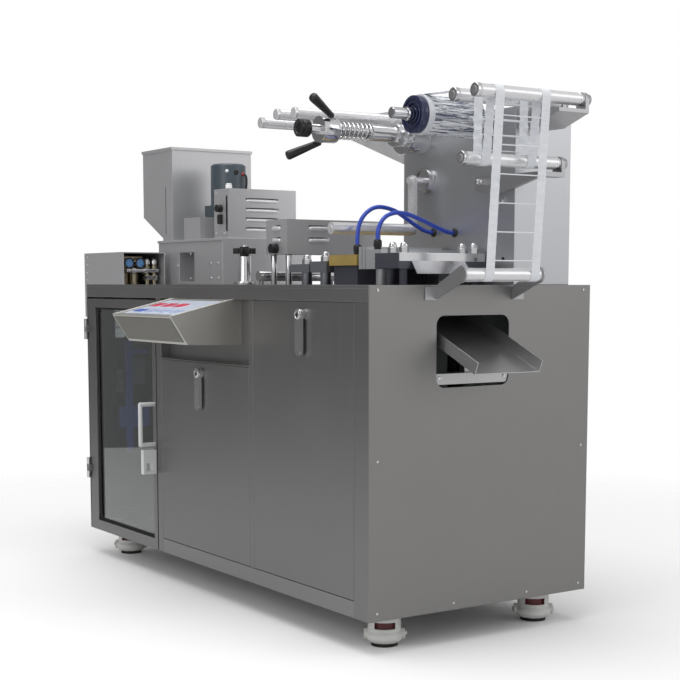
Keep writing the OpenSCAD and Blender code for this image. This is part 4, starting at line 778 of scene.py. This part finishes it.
# Enamel, baked: deep navy with a clean gloss on the rims.
reel_navy = mottled("navy_reel_enamel", {"IOR": 1.5, "Coat Weight": 0.3}, "#1D2340", "#2A3152", size_mm=10,
                    roughness=(0.25, 0.38), relief_mm=0.03)
coat(bright_steel, "unwind_shaft", "unwind_spring")
soften(1.0, "unwind_shaft", "takeup_reel")
unwind_axis, hub_y, hub_r = (-360, 1152), 128, 30
grip_root, grip_lean = 7, math.radians(57)
grip = [(0, 0), (6.4, 0), (7.4, 1.5), (8.0, 22), (9.6, 52), (10.8, 76), (10.8, 81), (9.6, 84.5),
        (6.5, 86.4), (0, 87)]
grips = []
for turn_deg in (51, 225):
    out = np.array([math.cos(math.radians(turn_deg)), 0.0, math.sin(math.radians(turn_deg))])
    root = np.array([unwind_axis[0], hub_y, unwind_axis[1]]) + (hub_r + grip_root) * out
    lean = out * math.cos(grip_lean) - np.array([0.0, math.sin(grip_lean), 0.0])
    grips.append(turned(grip, root, lean))
knob = [(0, 4), (12, 4), (14.5, 1), (16, 0), (18.6, 0), (20, 1.4), (20, 9), (19.2, 10), (20, 11),
        (20, 26), (18.5, 28), (0, 28)]
knob_y = 50
grips.append(turned(knob, (unwind_axis[0], knob_y, unwind_axis[1]), (0, 1, 0), sides=48))
show("unwind_grips", grips, "unwind_reel", black_plastic, ["unwind_handles"])
coat(reel_navy, "takeup_reel")
reel_axis = np.array([-130, 1170])
sleeve = [(0, -0.5), (10.5, -0.5), (12.5, 1.5), (12.5, 40), (15.5, 41), (15.5, 56.8), (0, 56.8)]
show("reel_shaft_end", [turned(sleeve, (reel_axis[0], 148, reel_axis[1]), (0, 1, 0))], "takeup_reel",
     bright_steel)
roll_r, roll_ys, roll_plain = 44.0, (222, 378), 16.0
roll_core_r, crease_depth, crease_fade = 13, 2.2, 20


def creased_roll():
    """The wound film: a barrel whose radius falls by creases that run along it. Each crease is the square of
    a sine of the turn, with a phase that drifts along the roll, and fades out towards the plain band."""
    y = np.linspace(*roll_ys, 72)[:, None]
    a = np.linspace(0, 2 * np.pi, 400, endpoint=False)[None]
    fade = np.clip((y - roll_ys[0] - roll_plain) / crease_fade, 0, 1)
    crease = 0
    for n, drift, size in ((23, 0.021, 0.5), (37, -0.034, 0.4), (58, 0.052, 0.3), (91, -0.027, 0.2)):
        crease = crease + size * np.sin(n * a + drift * (y - roll_ys[0]) * n / 9 + n) ** 2
    r = roll_r - crease_depth * fade * crease
    barrel = np.stack([reel_axis[0] + r * np.cos(a), y + 0 * a, reel_axis[1] + r * np.sin(a)], -1)
    across, up = roll_core_r * np.cos(a[0]), roll_core_r * np.sin(a[0])
    core = np.stack([reel_axis[0] + across, 0 * across, reel_axis[1] + up], -1)
    first, last = core + [0, roll_ys[0], 0], core + [0, roll_ys[1], 0]
    return surface(at(np.concatenate([first[None], barrel, last[None]])[:, ::-1]), round_v=True)


# Clear film in many turns, with painted light: white streaks are painted highlights where it lifts, and blue
# grey streaks are painted shade where the turns lie close on the core.
# The streaks are about 4.5 mm wide and 60 mm long.
wound_film, tree, shader = new_finish("wound_film_painted_streaks", {"IOR": 1.5, "Coat Weight": 0.5, "Roughness": 0.22})
coords = add(tree, "ShaderNodeTexCoord")
placed = add(tree, "ShaderNodeMapping", {"Vector": coords.outputs["Object"], "Scale": (220.0, 16.0, 220.0)})
streak = add(tree, "ShaderNodeTexNoise", {"Vector": placed.outputs[0], "Scale": 1.0, "Detail": 4.0,
                                          "Distortion": 0.6})
streak_light_and_lift = add(tree, "ShaderNodeMapRange", {"Value": streak.outputs["Fac"], "From Min": 0.40, "From Max": 0.56})
tone = add(tree, "ShaderNodeMix", {0: streak_light_and_lift.outputs[0], 6: rgb("#525A72"), 7: rgb("#EDEFF3")}, data_type="RGBA")
tree.links.new(tone.outputs[2], shader.inputs["Base Color"])
lift = add(tree, "ShaderNodeBump", {"Height": streak_light_and_lift.outputs[0], "Strength": 0.6, "Distance": 0.0008})
tree.links.new(lift.outputs[0], shader.inputs["Normal"])
# The same film wound flat: smooth, pale and glossy.
band_film = mottled("plain_film_edge", {"IOR": 1.5, "Coat Weight": 0.4}, "#CDD0D6", "#E2E4E8", size_mm=9,
                    roughness=(0.2, 0.32))
show("wound_film", [creased_roll()], "takeup_reel", wound_film, ["film_roll"], crease=80)
band = [(40, -0.2), (44.3, -0.2), (44.6, 1), (44.6, 13), (44.3, 14), (40, 14), (40, -0.2)]
band_foot = (reel_axis[0], roll_ys[0], reel_axis[1])
show("film_band", [turned(band, band_foot, (0, 1, 0), sides=64)], "takeup_reel", band_film)

# Idle rollers and dancer. Plated tubes on fixed shafts, three of them with a turned collar at each end,
# carried by stainless arms, brackets and the dancer arm that hangs from its slotted stop disc.

# Stainless plate, satin brushed along its length: an even silver grey.
arm_sheet = mottled("satin_stainless_arm", {"Metallic": 0.9}, "#A6A6A8", "#B6B6B8", size_mm=1.6,
                    roughness=(0.34, 0.44), stretch=(0.05, 1, 1), relief_mm=0.003)
coat(arm_sheet, "roller_arms", "roller_brackets")
coat(satin_steel, "top_roller", "second_roller", "mid_roller", "lower_roller", "dancer_arm", "dancer_roller")
soften(0.8, "roller_arms", "roller_brackets", "dancer_arm")
roller_collar = [(8, 0), (13.6, 0), (14.5, 0.9), (14.5, 11), (13.9, 11.8), (8, 11.8), (8, 0)]
rollers = (("top_roller", 115, 1195, 181.8, 466.4), ("second_roller", 43, 1193, 181.8, 466.4),
           ("mid_roller", 71, 1060, 181.8, 440.4))
for body, x, z, near, far in rollers:
    name = body + "_collars"
    collars = [turned(roller_collar, (x, y, z), (0, 1, 0)) for y in (near, far)]
    show(name, collars, body, bright_steel)

# Waste web. The film that is left after punching: two knurled edge strips and thin rungs of bluish white
# plastic, drawn from the punch over the rollers to the take-up reel.

# Film pressed by the sealing knurl: bluish white, ribbed across, softly shiny.
web_film = mottled("knurled_film_strip", {"IOR": 1.5, "Coat Weight": 0.2}, "#D2D6DE", "#F6F7F9",
                   size_mm=5.0, roughness=(0.25, 0.4), stretch=(0.15, 0.15, 1), relief_mm=0.5, cloud_mm=40)
web_stops = np.array([[88, 817, 14, 1], [115, 1195, 14, 1], [71, 1060, 14, -1], [43, 1193, 14, 1],
                      [-130, 1170, 44, 1]])
web_gap, web_t, web_start, web_step = 0.3, 0.8, -60, 2
web_ys, strip_w = (228, 378), 23
web_wave = (0.5, 2.4, 2.2, 0.6)


def web_path():
    """The film's way in X and Z, one row for each step, and its slack: straight from the punch, round each
    roller on an arc between the tangents to its neighbours, and on to the reel. The slack is the square of a
    sine over each free span times that span's wave height, and nil on the rollers. Each stop is a roller's
    X, Z, radius and the way round it."""
    mid, rho = web_stops[:, :2], web_stops[:, 3] * (web_stops[:, 2] + web_gap + web_t / 2)
    d = np.diff(mid, axis=0)
    n = np.arctan2(d[:, 1], d[:, 0]) - np.arccos((rho[:-1] - rho[1:]) / np.linalg.norm(d, axis=1))
    full = 2 * np.pi
    spans = ((-np.pi / 2, n[0]), (n[0], n[1] + full), (n[1] + full, n[2]), (n[2], n[3] + full),
             (n[3] + full, n[3] + full))
    points, marks = [np.array([[web_start, mid[0, 1] - rho[0]]])], []
    for (a0, a1), m, r in zip(spans, mid, rho):
        a = np.linspace(a0, a1, 24 if a1 != a0 else 1)[:, None]
        points.append(m + r * np.hstack([np.cos(a), np.sin(a)]))
        marks.append((sum(map(len, points[:-1])), sum(map(len, points)) - 1))
    line = np.vstack(points)
    run = np.concatenate([[0.0], np.cumsum(np.linalg.norm(np.diff(line, axis=0), axis=1))])
    s = np.linspace(0, run[-1], int(run[-1] / web_step))
    slack = 0 * s
    for (_, leave), (meet, _), high in zip(marks[:-1], marks[1:], web_wave):
        t = np.clip((s - run[leave]) / (run[meet] - run[leave]), 0, 1)
        slack = slack + high * np.sin(np.pi * t) ** 2
    way = np.stack([np.interp(s, run, line[:, k]) for k in (0, 1)], -1)
    return s, way, slack, run[[leave for _, leave in marks]]


def web_strip(y0, y1, phase):
    """One edge strip's middle surface and its way out: the path carried across the strip and lifted square to
    itself by the slack times two sines of the run, with a phase that shifts across the strip."""
    along = np.gradient(web_line, axis=0)
    along /= np.linalg.norm(along, axis=1)[:, None]
    out = np.stack([along[:, 1], 0 * along[:, 0], -along[:, 0]], -1)[:, None]
    u = np.linspace(-1, 1, 9)[None]
    s = web_s[:, None]
    long_wave = np.sin(s / 5.5 + 1.3 * u + phase)
    short_wave = np.sin(s / 3.1 - 0.9 * u + 2 * phase)
    lift = web_slack[:, None] * (0.6 * long_wave + 0.4 * short_wave)
    y = 0 * s + (y0 + y1) / 2 + u * (y1 - y0) / 2
    flat = np.stack([web_line[:, :1] + 0 * u, y, web_line[:, 1:] + 0 * u], -1)
    return flat + lift[:, :, None] * out, out


def thick(middle, out, t):
    """A closed sheet: the middle surface moved half its thickness each way and joined round the edges."""
    rim = np.concatenate([middle + out * t / 2, (middle - out * t / 2)[:, ::-1]], 1)
    ends = [np.repeat(row.mean(0)[None, None], rim.shape[1], 1) for row in (rim[0], rim[-1])]
    return surface(at(np.concatenate([ends[0], rim, ends[1]])), round_v=True)


web_s, web_line, web_slack, web_leave = web_path()
near_strip, out = web_strip(web_ys[0], web_ys[0] + strip_w, 0.4)
far_strip, out = web_strip(web_ys[1] - strip_w, web_ys[1], 2.1)
web = [thick(near_strip, out, web_t), thick(far_strip, out, web_t)]
rung_r, rung_pitch, drop_rungs, drop_run = 1.3, 32, 6, 360
rung_runs = [web_leave[0] + drop_run * (k + 0.5) / drop_rungs for k in range(drop_rungs)]
rung_runs += [web_leave[1] + 22 + rung_pitch * k for k in range(3)]
rung_runs += [web_leave[2] + 20 + rung_pitch * k for k in range(3)]
for row in np.searchsorted(web_s, rung_runs):
    near, far = near_strip[row, -2], far_strip[row, 1]
    web.append(swept([near, (near + far) / 2, far], rung_r, sides=8))
show("film_web", web, "machine", web_film, ["waste_web"], crease=60)

# Discharge chute. A folded stainless tray that slopes out of the end window, screwed to a cross bar inside
# the cabinet.

# Stainless sheet, brushed down the slope and polished by use: bright, with streaks downhill.
chute_sheet = mottled("bright_stainless_chute", {"Metallic": 0.9}, "#B2B2B3", "#C2C2C3", size_mm=1.6,
                      roughness=(0.26, 0.36), stretch=(0.02, 1, 1), relief_mm=0.004)
coat(chute_sheet, "discharge_chute")
soften(0.6, "discharge_chute")
bar_screws = heads([(-3, 188, 593), (-3, 371, 593)], (1, 0, 0), r=5, h=3)
show("chute_bar_screws", bar_screws, "machine", bright_steel)
